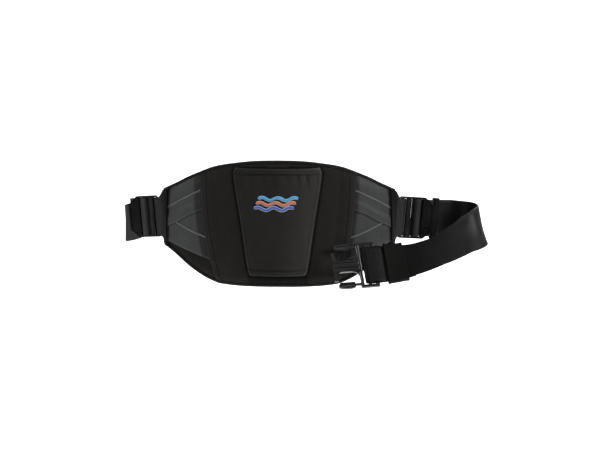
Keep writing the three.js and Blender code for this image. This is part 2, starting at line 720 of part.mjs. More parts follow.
function buckleFemale() {
  const f = FEMALE;
  const plan = new THREE.Shape();
  plan.moveTo(0, -f.neckHalf);
  plan.quadraticCurveTo(f.corner, -f.halfWidth, 2 * f.corner, -f.halfWidth);
  plan.lineTo(f.mouth, -f.halfWidth);
  plan.lineTo(f.mouth, f.halfWidth);
  plan.lineTo(2 * f.corner, f.halfWidth);
  plan.quadraticCurveTo(f.corner, f.halfWidth, 0, f.neckHalf);
  const shell = toSolid(alongZ(plan, -f.halfThick, f.halfThick));
  const inner = [f.halfWidth - f.wall, f.halfThick - f.wall];
  const socket = block(f.floor, f.mouth + f.lap, -inner[0], inner[0], -inner[1], inner[1]);
  const reach = f.halfWidth + f.lap;
  const windows = block(f.windowFrom, f.windowTo, -reach, reach, -f.windowHalfThick, f.windowHalfThick);
  const solids = [shell.subtract(socket).subtract(windows), crossBar(FEMALE_BAR, f.railHalf)];
  for (const side of [-1, 1]) {
    const [low, high] = [side * f.railHalf - f.railWidth / 2, side * f.railHalf + f.railWidth / 2];
    solids.push(block(f.barX, f.lap, low, high, -f.railTop, f.railTop));
  }
  return toGeometry(joined(solids));
}

// Assembly

const belt = new THREE.Group();

belt.add(piece('lumbar_pad', lumbarPad(), PAD_CLOTH));
belt.add(piece('centre_panel', centrePanel(), PANEL_CLOTH));
belt.add(piece('net_sleeve', netSleeve(), SLEEVE_CLOTH));

// Each wing is the right-hand one, mirrored for the left. Only its lock's turn differs.
for (const side of ['left', 'right']) {
  const wing = new THREE.Group();
  const frame = lockFrame(LOCK_YAW[side]);
  wing.add(piece(`upper_band_${side}`, upperBand(), ELASTIC_CLOTH));
  wing.add(piece(`lower_band_${side}`, lowerBand(), ELASTIC_CLOTH));
  wing.add(piece(`neck_loop_${side}`, neckLoop(frame), STRAP_CLOTH));
  wing.add(piece(`ladder_lock_${side}`, ladderLock().applyMatrix4(frameMatrix(frame)), BLACK_PLASTIC));
  wing.scale.x = side === 'left' ? -1 : 1;
  belt.add(wing);
}

// Straps, with what they carry
const rightLock = lockFrame(LOCK_YAW.right);
const leftLock = mirrored(lockFrame(LOCK_YAW.left));
const rightRun = freeStations(RIGHT_RUN);
const leftRun = freeStations(LEFT_RUN);
const male = buckleFrame(rightRun, MALE_REACH);
const female = buckleFrame(leftRun, FEMALE_REACH);

belt.add(piece('strap_right', strap(rightStrapStations(rightLock, rightRun, male)), STRAP_CLOTH));
belt.add(piece('strap_left', strap(leftStrapStations(leftLock, leftRun, female)), STRAP_CLOTH));
belt.add(piece('keeper_right', keeperRight(rightLock), STRAP_CLOTH));
belt.add(piece('keeper_front', keeperFront(rightRun), STRAP_CLOTH));
belt.add(piece('buckle_male', buckleMale().applyMatrix4(frameMatrix(male)), BLACK_PLASTIC));
belt.add(piece('buckle_female', buckleFemale().applyMatrix4(frameMatrix(female)), BLACK_PLASTIC));

export default belt;
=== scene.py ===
"""A wading belt, shown open and unworn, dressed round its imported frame.

Tables and shape functions are in millimetres, and a mesh is written in metres. X runs to the right
of the pad's outer face, Y from it towards the wearer, Z up. Most cloth lies on the pad's drum: along
is measured round it from the middle, height up it, and stand is how far out from its inner face.
"""

import math

import bmesh
import bpy
import numpy as np
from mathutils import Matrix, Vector


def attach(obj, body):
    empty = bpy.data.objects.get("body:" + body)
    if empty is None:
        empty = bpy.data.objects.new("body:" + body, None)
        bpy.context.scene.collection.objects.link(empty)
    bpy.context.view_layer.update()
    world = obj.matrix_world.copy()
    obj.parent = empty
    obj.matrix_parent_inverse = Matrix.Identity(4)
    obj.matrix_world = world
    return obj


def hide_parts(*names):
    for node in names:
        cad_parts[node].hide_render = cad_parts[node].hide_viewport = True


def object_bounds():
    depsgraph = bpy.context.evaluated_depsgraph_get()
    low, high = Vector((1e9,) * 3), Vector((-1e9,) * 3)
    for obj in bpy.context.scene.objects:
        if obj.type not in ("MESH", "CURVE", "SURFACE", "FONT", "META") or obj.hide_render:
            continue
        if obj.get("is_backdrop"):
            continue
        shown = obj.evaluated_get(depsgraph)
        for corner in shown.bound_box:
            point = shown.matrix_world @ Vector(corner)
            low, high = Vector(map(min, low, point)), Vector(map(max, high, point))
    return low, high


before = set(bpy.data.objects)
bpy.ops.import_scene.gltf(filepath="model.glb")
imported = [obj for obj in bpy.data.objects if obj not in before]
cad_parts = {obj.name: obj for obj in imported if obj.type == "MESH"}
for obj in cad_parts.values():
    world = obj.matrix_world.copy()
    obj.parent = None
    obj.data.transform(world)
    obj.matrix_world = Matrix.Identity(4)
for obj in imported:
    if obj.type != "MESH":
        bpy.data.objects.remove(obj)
cad_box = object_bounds()

MM = 0.001

# Measures, most of them shared with the frame
FABRIC, ELASTIC, WEBBING, GAP = 1.5, 1.2, 1.6, 0.5
HALF_WEBBING = 25.0
PAD_RADIUS, PAD_RIM, PAD_RAMP, PAD_END = 330.0, 4.0, 14.0, 157.5

# along, top, bottom, thick
PAD_OUTLINE = [
    (0, 82, -82, 12), (30, 81.2, -82, 12), (58, 78, -81, 12), (82, 73.5, -78, 11.5),
    (101, 66.5, -70, 9.5), (120, 58.5, -58.5, 8), (135, 51, -47, 6.5), (148, 45, -38, 5),
    (158, 40.5, -32, 4.2),
]
# height, along
PANEL_SEAM = [(-80, 80), (-59, 85), (-20, 92.5), (16, 97), (67, 99.5)]
# along, lower edge of the upper band, upper and lower edge of the lower band
BAND_EDGES = [
    (76, 24, 30, -52), (96, 17.5, 23.5, -46), (114, 10.5, 16.5, -40), (131, 1, 7, -34.5),
    (150, -8, -2, -27.5),
]
BAND_END = 153.5
# height, half width, bulge
SLEEVE_ROWS = [(-66, 35.5, 10.5), (-60, 38, 11.5), (8, 47.5, 14), (67, 56, 13), (75, 54, 12)]
SLEEVE_FOOT, SLEEVE_TOP = -66, 75
# along, height of the raised rib down the middle of each band
UPPER_RIB = [(94, 45.5), (99, 43.8), (123, 32.2), (152, 17)]
LOWER_RIB = [(89, -19.6), (94, -18.2), (115, -10.7), (137, -1.2)]

# Ladder locks: where each fixed bar lies on the drum, and how far each lock is turned and droops
NECK = (165.8, 4.5, 2.5)
LOCK_YAW = {"left": 33, "right": 28}
LOCK_DROOP, BAR_INSET = 6, 16

# Neck loop, along the pad (along, stand, half width), round the bar (x, z), and back
LOOP_FRONT = [(150, 4.9, 39.4), (153.5, 4.7, 37.6), (156.5, 3.4, 35.2), (159, 2, 31)]
LOOP_ROUND_BAR = [
    (-18.6, 3.3), (-14.4, 3.1), (-11, 2.3), (-9.6, 0), (-11, -2.3), (-14.4, -3.1), (-18.6, -3.4),
]
LOOP_BACK = [(159, -2, 31), (156, -1.8, 35.5), (151, -1.5, 39), (145, -1.4, 41)]
LOOP_MIDDLE = [(145, 4.9), (151, 5.2), (156, 5.3), (160, 5)]

# Webbing in a lock's own frame: x away from the pad, z out of its face
LOCK_THREADING = [
    (25, -3.7), (19.5, -3.2), (16.2, -2.2), (14.7, 0), (13.6, 2.2), (11.2, 3.2), (7.6, 3.2), (5, 2.2),
    (3.6, 0), (3, -2.6), (4.6, -5), (8.5, -5.9),
]
TAIL_RIGHT = [(47.5, -3.9), (36, -3.9)]
TAIL_LEFT = [(37, -3.9)]
OUT_RIGHT = [(19, -6.1), (30, -6.2), (38, -6.2)]
# x, z, y, skew
LEFT_TURN = [
    (18, -6.1, -1.6, -0.05), (28, -6.3, -4.4, -0.1), (38, -6.6, -7, -0.12), (48, -7.4, -8.6, -0.12),
    (54, -9.8, -9.2, -0.12), (56, -13.5, -9.2, -0.12), (54, -17.6, -8.7, -0.12), (47, -20.8, -7.2, -0.1),
    (36, -23.6, -5.2, -0.05),
]
# x, y, z, lean of the upper edge in degrees
RIGHT_RUN = [
    (215.2, 75, -1.6, 0), (230, 81.5, -2.8, -3), (243.5, 80.5, -4, -4), (255.5, 73, -4.2, 0),
    (264.5, 59, -4.2, 6), (269, 40, -4.8, 12), (263.5, 20, -8.2, 25), (241, 4, -19.2, 48),
    (209, -2.5, -35, 52), (179, -6, -45, 46), (154, -8.8, -49.3, 36), (138, -11.8, -50.6, 31),
    (129, -14.2, -51, 30),
]
LEFT_RUN = [
    (-172, 83.5, -4.6, 0), (-150, 79.5, -6, 0), (-115, 70, -10.5, 0), (-75, 60, -15, 0), (-35, 53, -18, 0),
    (0, 50, -19, 0),
]
MALE_REACH, FEMALE_REACH = 24, 21
MALE_THREADING = [
    (-33, -1.2), (-26, -2.7), (-21.5, -3), (-15, -3.1), (-10.5, -3), (-7.6, -2), (-6.7, 0), (-7.6, 2),
    (-10.5, 3), (-16, 3.1), (-22, 3.1), (-27, 2.9),
]
FEMALE_THREADING = [
    (-28, 2.6), (-22, 2.9), (-17, 2.9), (-14.6, 1.8), (-14, 0), (-14.6, -1.8), (-17, -2.9), (-22, -2.9),
    (-30, -1.6), (-48, -1.1),
]
TAIL_BEHIND, TAIL_FIRST, TAIL_LAST, TAIL_COUNT = 2.2, 0.6, 2.9, 6
KEEPER_WALL, KEEPER_HALF = 1.2, 26.4
KEEPER_FRONT, KEEPER_FRONT_INSIDE = (9.45, 10.75), 2.8
KEEPER_RIGHT, KEEPER_RIGHT_MIDDLE, KEEPER_RIGHT_INSIDE = (37, 44), -5.1, 2.6

# Rows of stitches: how deep inside an edge they lie, and how far out of the cloth
PANEL_HEM, SLEEVE_HEM, SLEEVE_SIDES, BINDING_ROW = 7.6, 7.8, (2.6, 5.5), 1.5
STITCH_LIFT = 0.1
# Stitches are drawn coarser than real ones, so that they show
STITCH_PITCH, STITCH_LENGTH, STITCH_WIDTH = 3.4, 2.5, 0.55
# Two rows across each neck, a row under each lower band, and a patch at the sleeve's foot
NECK_ROWS, NECK_ROW_HALF = (151.6, 154), 33
WING_ROW, WING_ROW_DEEP = (86, 148), 4
PATCH_SIDES, PATCH_TOP, PATCH_FOOT = (-26, 30), -50, -58
# Where the panel's seams draw the pad's inner face to
CHANNEL_STAND = 1.5
# Binding: how far it reaches onto each face, its wall, and how far its fold stands off the rim
BINDING_LEG, BINDING_WALL, BINDING_FOLD = 2.4, 0.6, 1.2

# Ribbed grips in the heads of the male half, in the buckle's own axes
GRIP_REACH, GRIP_ACROSS, GRIP_RIBS = (12.2, 26.8), (24.6, 28), 7

# Embroidered ripples: their ends, the middle one's height, how far each lies above the next and is shifted
# from it, their sway, and how often they turn
MARK_ENDS, MARK_MIDDLE, MARK_PITCH, MARK_SHIFT = (-25, 23), 29.6, 6.4, 2.5
MARK_SWAY, MARK_TURNS = 1.9, 2.5
MARK_COLOURS = [
    ("sky", "#1f74ab", "#4aa5d4"), ("coral", "#a24631", "#cf744a"), ("indigo", "#2a3d8c", "#5167bb"),
]

# Foam filling of the pad: size of its mesh in mm, then the cloth simulation's values
PAD_MESH, FOAM_PRESSURE, FOAM_STIFFNESS, FOAM_FRAMES = 2.4, 4, 12, 20

# Camera and light: degrees, metres and watts, and targets in mm
CAMERA_AZIMUTH, CAMERA_ELEVATION, CAMERA_DISTANCE, CAMERA_LENS = 2, 8, 2.2, 98.03
CAMERA_TARGET, LIGHT_TARGET = (34.7, 21.2, -4.6), (30, 10, 0)
# name, azimuth, elevation, distance, width and height, power
SOFTBOXES = [
    ("key", 64, 22, 2.2, (0.7, 0.9), 40), ("fill", -62, 20, 2.2, (0.7, 0.9), 27),
    ("top", 10, 62, 1.9, (1.2, 0.7), 7), ("rear", 165, 38, 2.2, (1.2, 0.8), 60),
]
# Strength of the room's light, and of the paper's glow on the belt
ROOM_LIGHT, PAPER_GLOW = 0.16, 0.3
# What the points of a right-hand shape are multiplied by: the left side mirrors it
HAND = {"right": np.array([1, 1, 1]), "left": np.array([-1, 1, 1])}


# Camera, light and floor
def look_from(eye, target):
    """Turns a camera or lamp so that it looks from eye to target, with its top up."""
    return (Vector(target) - Vector(eye)).to_track_quat("-Z", "Y").to_euler()


def direction(azimuth, elevation):
    """The way from the belt to a place so many degrees to the right of its front and above level."""
    turn, rise = math.radians(azimuth), math.radians(elevation)
    return np.array([math.sin(turn) * math.cos(rise), -math.cos(turn) * math.cos(rise), math.sin(rise)])


def put(name, data):
    """An object with this data, linked into the scene at the origin."""
    thing = bpy.data.objects.new(name, data)
    bpy.context.scene.collection.objects.link(thing)
    return thing


def set_camera():
    """The photograph's view: a little above level and a little to the right of the middle."""
    target = np.array(CAMERA_TARGET) * MM
    camera = put("camera", bpy.data.cameras.new("camera"))
    camera.data.lens = CAMERA_LENS
    camera.location = target + direction(CAMERA_AZIMUTH, CAMERA_ELEVATION) * CAMERA_DISTANCE
    camera.rotation_euler = look_from(camera.location, target)
    bpy.context.scene.camera = camera


def softbox(name, azimuth, elevation, distance, size, power):
    """A rectangular lamp in this direction from the belt, aimed at it."""
    lamp = put(name, bpy.data.lights.new(name, "AREA"))
    lamp.data.shape = "RECTANGLE"
    lamp.data.size, lamp.data.size_y = size
    lamp.data.energy = power
    lamp.location = direction(azimuth, elevation) * distance
    lamp.rotation_euler = look_from(lamp.location, np.array(LIGHT_TARGET) * MM)


# Tools for materials
def linear(code):
    """An sRGB hex colour as linear red, green, blue and an alpha of 1."""
    parts = [int(code[i:i + 2], 16) / 255 for i in (1, 3, 5)]
    return [p / 12.92 if p <= 0.04045 else ((p + 0.055) / 1.055) ** 2.4 for p in parts] + [1.0]


def add(tree, kind, settings, links=()):
    """Adds a node. A setting is one of its own values, or a socket's by name or number. A link feeds a
    socket from another node."""
    node = tree.nodes.new(kind)
    for key, value in settings.items():
        if isinstance(key, int) or key in node.inputs:
            node.inputs[key].default_value = value
        else:
            setattr(node, key, value)
    for key, source in dict(links).items():
        tree.links.new(source, node.inputs[key])
    return node


def new_material(name, settings):
    """A material, its node tree and its shader, whose sockets get these settings."""
    material = bpy.data.materials.new(name)
    material.use_nodes = True
    shader = material.node_tree.nodes["Principled BSDF"]
    for key, value in settings.items():
        shader.inputs[key].default_value = value
    return material, material.node_tree, shader


def coloured(tree, shader, dark, light, share, highlight_tint=None):
    """Blends two sRGB colours by a share from 0 to 1. With a highlight tint, two attributes of the piece
    paint light onto it: the first darkens it with painted shade in creases, stitch grooves and cast
    shadows, and the second mixes in that tint as painted highlights and painted light, and on the left
    strap as a lighter tone all over."""
    blend = add(tree, "ShaderNodeMix", {"data_type": "RGBA", 6: linear(dark), 7: linear(light)}, {0: share})
    colour = blend.outputs[2]
    if highlight_tint:
        # The first attribute multiplies in a dark tint as painted shade, and the second mixes in the
        # highlight tint as painted highlight and painted light
        for name, kind, tint in (("painted_shade", "MULTIPLY", "#585654"), ("painted_highlight_and_tone", "MIX", highlight_tint)):
            amount = add(tree, "ShaderNodeAttribute", {"attribute_name": name}).outputs["Fac"]
            settings = {"data_type": "RGBA", "blend_type": kind, 7: linear(tint)}
            colour = add(tree, "ShaderNodeMix", settings, {0: amount, 6: colour}).outputs[2]
    tree.links.new(colour, shader.inputs["Base Color"])


def relieved(tree, shader, height, strength, deep):
    """Lets a height from 0 to 1 stand out of the surface by this depth in mm."""
    bump = add(tree, "ShaderNodeBump", {"Strength": strength, "Distance": deep * MM}, {"Height": height})
    tree.links.new(bump.outputs["Normal"], shader.inputs["Normal"])


def lines_every(pitch):
    """The wave texture's scale for one line every so many mm: it draws one for each turn of 20 times its
    scale."""
    return math.tau / 20 / (pitch * MM)


# Materials
def woven_cloth(name, dark, light, highlight_tint, thread, place_by="UV"):
    """Plain-woven polyester: matt, with two sets of threads that cross at this spacing in mm, over soft
    blotches of shade and lighter flecks. Real threads lie 0.5 mm apart, and are drawn coarser to show."""
    material, tree, shader = new_material(name, {"Roughness": 0.82, "Specular IOR Level": 0.09})
    place = add(tree, "ShaderNodeTexCoord", {}).outputs[place_by]
    spots = add(tree, "ShaderNodeTexNoise", {"Scale": 38.0, "Detail": 5.0, "Roughness": 0.62},
                {"Vector": place})
    fleck = add(tree, "ShaderNodeTexNoise", {"Scale": 650.0, "Detail": 3.0}, {"Vector": place})
    part = add(tree, "ShaderNodeMath", {"operation": "MULTIPLY_ADD", 1: 0.9, 2: -0.18},
               {0: fleck.outputs["Fac"]})
    tone = add(tree, "ShaderNodeMath", {"operation": "MULTIPLY_ADD", 1: 0.5},
               {0: spots.outputs["Fac"], 2: part.outputs[0]})
    coloured(tree, shader, dark, light, tone.outputs[0], highlight_tint)
    wave = {"Scale": lines_every(thread), "Distortion": 0.8, "Detail": 1.0, "Detail Scale": 2.0}
    thread_lines = [
        add(tree, "ShaderNodeTexWave", {"bands_direction": axis, **wave}, {"Vector": place}).outputs["Fac"]
        for axis in ("X", "Y" if place_by == "UV" else "Z")
    ]
    cross = add(tree, "ShaderNodeMath", {"operation": "MULTIPLY"}, dict(enumerate(thread_lines)))
    relieved(tree, shader, cross.outputs[0], 0.5, 0.25)
    return material


def lined_cloth(name, dark, light, line, rough, shine, highlight_tint=None):
    """Cloth whose threads run in lines along the piece, as in webbing, tape and satin elastic. line is
    their spacing in mm, and the picks across them lie a little wider. Smooth filament yarn has a low rough
    and more shine. Painted shade also dulls the shine of cloth that has a highlight tint."""
    material, tree, shader = new_material(name, {"Roughness": rough, "Specular IOR Level": shine})
    place = add(tree, "ShaderNodeTexCoord", {}).outputs["UV"]
    warp, picks = (
        add(tree, "ShaderNodeTexWave", {"bands_direction": axis, "Scale": lines_every(pitch),
                                        "Distortion": 0.5, "Detail": 1.0}, {"Vector": place}).outputs["Fac"]
        for axis, pitch in (("Y", line), ("X", 1.3 * line))
    )
    spots = add(tree, "ShaderNodeTexNoise", {"Scale": 55.0, "Detail": 5.0, "Roughness": 0.6},
                {"Vector": place})
    both = add(tree, "ShaderNodeMath", {"operation": "MULTIPLY"}, {0: warp, 1: picks}).outputs[0]
    tone = add(tree, "ShaderNodeMath", {"operation": "MULTIPLY_ADD", 1: 0.35},
               {0: both, 2: spots.outputs["Fac"]})
    less = add(tree, "ShaderNodeMath", {"operation": "SUBTRACT", 1: 0.08}, {0: tone.outputs[0]})
    coloured(tree, shader, dark, light, less.outputs[0], highlight_tint)
    if highlight_tint:
        # Painted shade also lowers the shine
        dull = add(tree, "ShaderNodeAttribute", {"attribute_name": "painted_shade"}).outputs["Fac"]
        level = add(tree, "ShaderNodeMapRange", {"To Min": shine, "To Max": 0.3 * shine}, {"Value": dull})
        tree.links.new(level.outputs[0], shader.inputs["Specular IOR Level"])
    relieved(tree, shader, both, 0.5, 0.3)
    return material


def moulded_acetal(name):
    """Acetal, injection moulded and black: an even gloss, with handling marks that dull it here and there
    and a faint grain in its highlights."""
    material, tree, shader = new_material(name, {"IOR": 1.48, "Specular IOR Level": 0.4})
    place = add(tree, "ShaderNodeTexCoord", {}).outputs["Object"]
    grain = add(tree, "ShaderNodeTexNoise", {"Scale": 700.0, "Detail": 3.0}, {"Vector": place})
    marks = add(tree, "ShaderNodeTexNoise", {"Scale": 60.0, "Detail": 4.0}, {"Vector": place})
    coloured(tree, shader, "#050505", "#0d0d0c", marks.outputs["Fac"])
    rough = add(tree, "ShaderNodeMapRange", {"To Min": 0.16, "To Max": 0.32},
                {"Value": marks.outputs["Fac"]})
    tree.links.new(rough.outputs[0], shader.inputs["Roughness"])
    relieved(tree, shader, grain.outputs["Fac"], 0.15, 0.1)
    return material


def spun_thread(name, dark, light):
    """Polyester sewing or embroidery thread: a slight lustre, and plies that show as fine flecks."""
    material, tree, shader = new_material(name, {"Roughness": 0.6, "Specular IOR Level": 0.2})
    place = add(tree, "ShaderNodeTexCoord", {}).outputs["Object"]
    plies = add(tree, "ShaderNodeTexNoise", {"Scale": 1400.0, "Detail": 2.0}, {"Vector": place})
    coloured(tree, shader, dark, light, plies.outputs["Fac"])
    relieved(tree, shader, plies.outputs["Fac"], 0.3, 0.2)
    return material


def studio_paper(name):
    """Matt white background paper. The camera sees it evenly white, and it glows only a little on the
    belt."""
    material, tree, shader = new_material(name, {"Roughness": 0.95, "Specular IOR Level": 0.1})
    place = add(tree, "ShaderNodeTexCoord", {}).outputs["Object"]
    fibre = add(tree, "ShaderNodeTexNoise", {"Scale": 6.0, "Detail": 2.0}, {"Vector": place})
    coloured(tree, shader, "#f7f7f7", "#fcfcfc", fibre.outputs["Fac"])
    shader.inputs["Emission Color"].default_value = linear("#ffffff")
    seen = add(tree, "ShaderNodeLightPath", {}).outputs["Is Camera Ray"]
    glow = add(tree, "ShaderNodeMapRange", {"To Min": PAPER_GLOW, "To Max": 1.0}, {"Value": seen})
    tree.links.new(glow.outputs[0], shader.inputs["Emission Strength"])
    return material


# Tools for shapes
def table_at(rows, column, at):
    """One column of a table between its rows: a cubic through each row whose slope there is that of the
    line between its neighbours. The first column is where the rows stand."""
    rows = np.asarray(rows, float)
    key, value = rows[:, 0], rows[:, column]
    last = len(key) - 1
    index = np.arange(last + 1)
    before, after = np.maximum(index - 1, 0), np.minimum(index + 1, last)
    slope = (value[after] - value[before]) / (key[after] - key[before])
    at = np.asarray(at, float)
    i = np.clip(np.searchsorted(key, at, side="right") - 1, 0, last - 1)
    span = key[i + 1] - key[i]
    t = np.clip((at - key[i]) / span, 0, 1)
    rise = t * t * (3 - 2 * t)
    bend = t * (1 - t) ** 2 * slope[i] - t * t * (1 - t) * slope[i + 1]
    return value[i] * (1 - rise) + value[i + 1] * rise + bend * span


def mix(a, b, t):
    """a where t is 0, b where it is 1, and a straight line between them."""
    return a + (b - a) * t


def unit(rows):
    """Vectors, each divided by its own length."""
    return rows / np.linalg.norm(rows, axis=-1)[..., None]


def unit_grid(rows, columns):
    """Two parameters from 0 to 1 on a grid, one down its rows and one across its columns."""
    return np.meshgrid(np.linspace(0, 1, rows), np.linspace(0, 1, columns), indexing="ij")


def step(x, low, high):
    """0 below low, 1 above high, and a smooth rise between them."""
    t = np.clip((x - low) / (high - low), 0, 1)
    return t * t * (3 - 2 * t)


def groove(x, middle, width):
    """1 at the middle, falling off on both sides as a bell of this width."""
    return np.exp(-((x - middle) / width) ** 2)


def dents(x, y, size, seed):
    """Heights from -1 to 1 at the corners of squares of this size in mm, joined by smooth steps."""
    lattice = np.random.default_rng(seed).uniform(-1, 1, (64, 64))
    gx, gy = np.broadcast_arrays(np.asarray(x, float) / size, np.asarray(y, float) / size)
    ix, iy = np.floor(gx).astype(int), np.floor(gy).astype(int)
    fx, fy = gx - ix, gy - iy
    fx, fy = fx * fx * (3 - 2 * fx), fy * fy * (3 - 2 * fy)
    corner = lambda a, b: lattice[(ix + a) % 64, (iy + b) % 64]
    return mix(mix(corner(0, 0), corner(1, 0), fx), mix(corner(0, 1), corner(1, 1), fx), fy)


def on_drum(along, height, stand):
    """A point of the drum: along turned into an angle, at the drum's radius and stand from its axis."""
    along, height, stand = np.broadcast_arrays(*(np.asarray(v, float) for v in (along, height, stand)))
    turn, reach = along / PAD_RADIUS, PAD_RADIUS + stand
    return np.stack([reach * np.sin(turn), PAD_RADIUS - reach * np.cos(turn), height], -1)


def off_drum(points):
    """The along, height and stand of points in space."""
    along = PAD_RADIUS * np.arctan2(points[:, 0], PAD_RADIUS - points[:, 1])
    return along, points[:, 2], np.hypot(points[:, 0], points[:, 1] - PAD_RADIUS) - PAD_RADIUS


def drum_out(along):
    """The direction straight out of the drum at each along."""
    turn = np.asarray(along, float) / PAD_RADIUS
    return np.stack([np.sin(turn), -np.cos(turn), 0 * turn], -1)


def length_along(points):
    """Distance from the first point of a row to each one."""
    steps = np.linalg.norm(np.diff(points, axis=0), axis=1)
    return np.concatenate([[0], np.cumsum(steps)])


def grid_faces(rows, columns, ring_columns=False):
    """Quads of a grid of points, whose last column is joined to the first where asked."""
    last = columns if ring_columns else columns - 1
    i, j = np.meshgrid(np.arange(rows - 1), np.arange(last), indexing="ij")
    this, over = i * columns, (j + 1) % columns
    below = this + columns
    return np.stack([this + j, below + j, below + over, this + over], -1).reshape(-1, 4)


def rim_faces(rows, columns):
    """Quads that join the border of a grid to that of a second grid of points stored after it."""
    border = np.concatenate([
        np.arange(columns), np.arange(1, rows) * columns + columns - 1,
        (rows - 1) * columns + np.arange(columns - 2, -1, -1), np.arange(rows - 2, 0, -1) * columns,
    ])
    following, offset = np.roll(border, -1), rows * columns
    return np.stack([border, following, following + offset, border + offset], -1)


def new_piece(name, points, faces, uv=None):
    """A mesh object in metres from points in mm. uv is one pair per point, in mm."""
    mesh = bpy.data.meshes.new(name)
    mesh.from_pydata((np.asarray(points) * MM).tolist(), [], [list(f) for f in faces])
    if uv is not None:
        corners = np.empty(len(mesh.loops), int)
        mesh.loops.foreach_get("vertex_index", corners)
        layer = mesh.uv_layers.new(name="UVMap")
        layer.data.foreach_set("uv", (np.asarray(uv)[corners] * MM).ravel())
    mesh.polygons.foreach_set("use_smooth", [True] * len(mesh.polygons))
    return put(name, mesh)


def places(first, second):
    """Pairs of the two, each spread over the other's shape, as places on the cloth."""
    return np.stack(np.broadcast_arrays(first, second), -1)


def surface(name, points, uv, **closed):
    """A piece from a grid of points and a grid of places on the cloth."""
    rows, columns = points.shape[:2]
    return new_piece(name, points.reshape(-1, 3), grid_faces(rows, columns, **closed), uv.reshape(-1, 2))


def mark_painted_light(piece, painted_shade, painted_highlight_and_tone):
    """Stores on each point how much painted shade darkens it and how much it is lightened by painted
    highlight, painted light and lighter tone, both from 0 to 1.
    """
    for name, amount in (("painted_shade", painted_shade), ("painted_highlight_and_tone", painted_highlight_and_tone)):
        store = piece.data.attributes.new(name, "FLOAT", "POINT")
        values = np.zeros(len(piece.data.vertices)) + np.clip(amount, 0, 1).ravel()
        store.data.foreach_set("value", values)


def thicken(piece, thickness, offset=-1.0):
    """Gives a sheet its wall. An offset of -1 puts all of it behind the sheet's face."""
    wall = piece.modifiers.new("wall", "SOLIDIFY")
    wall.thickness, wall.offset = thickness * MM, offset
    wall.use_even_offset = False
    return piece


def through_bmesh(mesh, change):
    """Hands a mesh's editable copy to a function and stores what comes of it."""
    shape = bmesh.new()
    shape.from_mesh(mesh)
    change(shape)
    shape.to_mesh(mesh)
    shape.free()


def face_outwards(piece):
    """Recalculates the normals of a closed mesh, so that every face points out."""
    through_bmesh(piece.data, lambda shape: bmesh.ops.recalc_face_normals(shape, faces=shape.faces))
    return piece


def closed_between(name, front, back):
    """A closed piece between two grids of points: both sheets, and a row of quads round their border."""
    rows, columns = front.shape[:2]
    faces = grid_faces(rows, columns)
    everything = np.concatenate([faces, faces[:, ::-1] + rows * columns, rim_faces(rows, columns)])
    return face_outwards(new_piece(name, np.concatenate([front, back]).reshape(-1, 3), everything))


def closed_tube(name, rings, uv):
    """A piece from rings of points, with a face over its first and its last ring."""
    rows, columns = rings.shape[:2]
    faces = grid_faces(rows, columns, ring_columns=True).tolist()
    faces += [list(range(columns)), list(range((rows - 1) * columns, rows * columns))]
    return face_outwards(new_piece(name, rings.reshape(-1, 3), faces, uv.reshape(-1, 2)))


def dress(piece, material, slot, *stands_for):
    """Gives a piece its material and ties it to the frame."""
    piece.data.materials.clear()
    piece.data.materials.append(material)
    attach(piece, "root")
    if stands_for:
        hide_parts(*stands_for)
    return piece


# The pad's own surface
def pad_top(along):
    """Height of the pad's top edge, the same on both sides of the middle."""
    return table_at(PAD_OUTLINE, 1, np.abs(along))


def pad_bottom(along):
    """Height of the pad's bottom edge, the same on both sides of the middle."""
    return table_at(PAD_OUTLINE, 2, np.abs(along))


def pad_face(along, height):
    """Stand of the pad's outer face: full inside, and a quarter sine down to its rim within the ramp."""
    full = table_at(PAD_OUTLINE, 3, np.abs(along))
    inside = np.clip(np.minimum(pad_top(along) - height, height - pad_bottom(along)) / PAD_RAMP, 0, 1)
    return PAD_RIM + (full - PAD_RIM) * np.sin(inside * np.pi / 2)


def inside_panel(along, height):
    """How far a place lies inside the panel's side seams. It is below 0 out on the wings."""
    return table_at(PANEL_SEAM, 1, height) - np.abs(along)


def panel_lift(along, height):
    """How far the middle panel lies off the pad: close to it, and raised over the ends of the bands."""
    side = 1 - step(inside_panel(along, height), 9, 22)
    return 0.7 + side * step(height, -56, -48) * 2 * (ELASTIC + GAP)


def panel_stand(along, height):
    """Stand of the panel's front: over the pad, with a turned hem along each seam that is sewn down in a
    groove, shallow dents, and short puckers that run in from the hem."""
    inward = inside_panel(along, height)
    sunk = 0.5 * groove(inward, PANEL_HEM, 0.9) + 0.9 * groove(inward, 0, 1.2)
    hem = 0.5 * (1 - step(inward, 6.5, 9)) - sunk
    soft = 0.26 * (dents(along, height, 34, 3) - 1) + 0.1 * (dents(along, height, 13, 4) - 1)
    from_edge = step(pad_top(along) - height, 3, 12) * step(height - pad_bottom(along), 3, 12)
    fade = step(inward, 4, 16) * from_edge
    pucker = 0.25 * np.sin(height * 0.9 + 3 * dents(along, height, 30, 5)) * groove(inward, 9, 6)
    rest = pad_face(along, height) + panel_lift(along, height) + FABRIC
    return rest + hem + pucker * fade + soft * fade


def sleeve_under(along, height):
    """Stand of the cloth under the sleeve: pad, panel and a gap on top of each other."""
    return pad_face(along, height) + panel_lift(along, height) + FABRIC + GAP


def inside_sleeve(along, height):
    """How far a place lies inside the sleeve's side, its upper and its lower end."""
    half = table_at(SLEEVE_ROWS, 1, height)
    return half - np.abs(along), SLEEVE_TOP - height, height - SLEEVE_FOOT


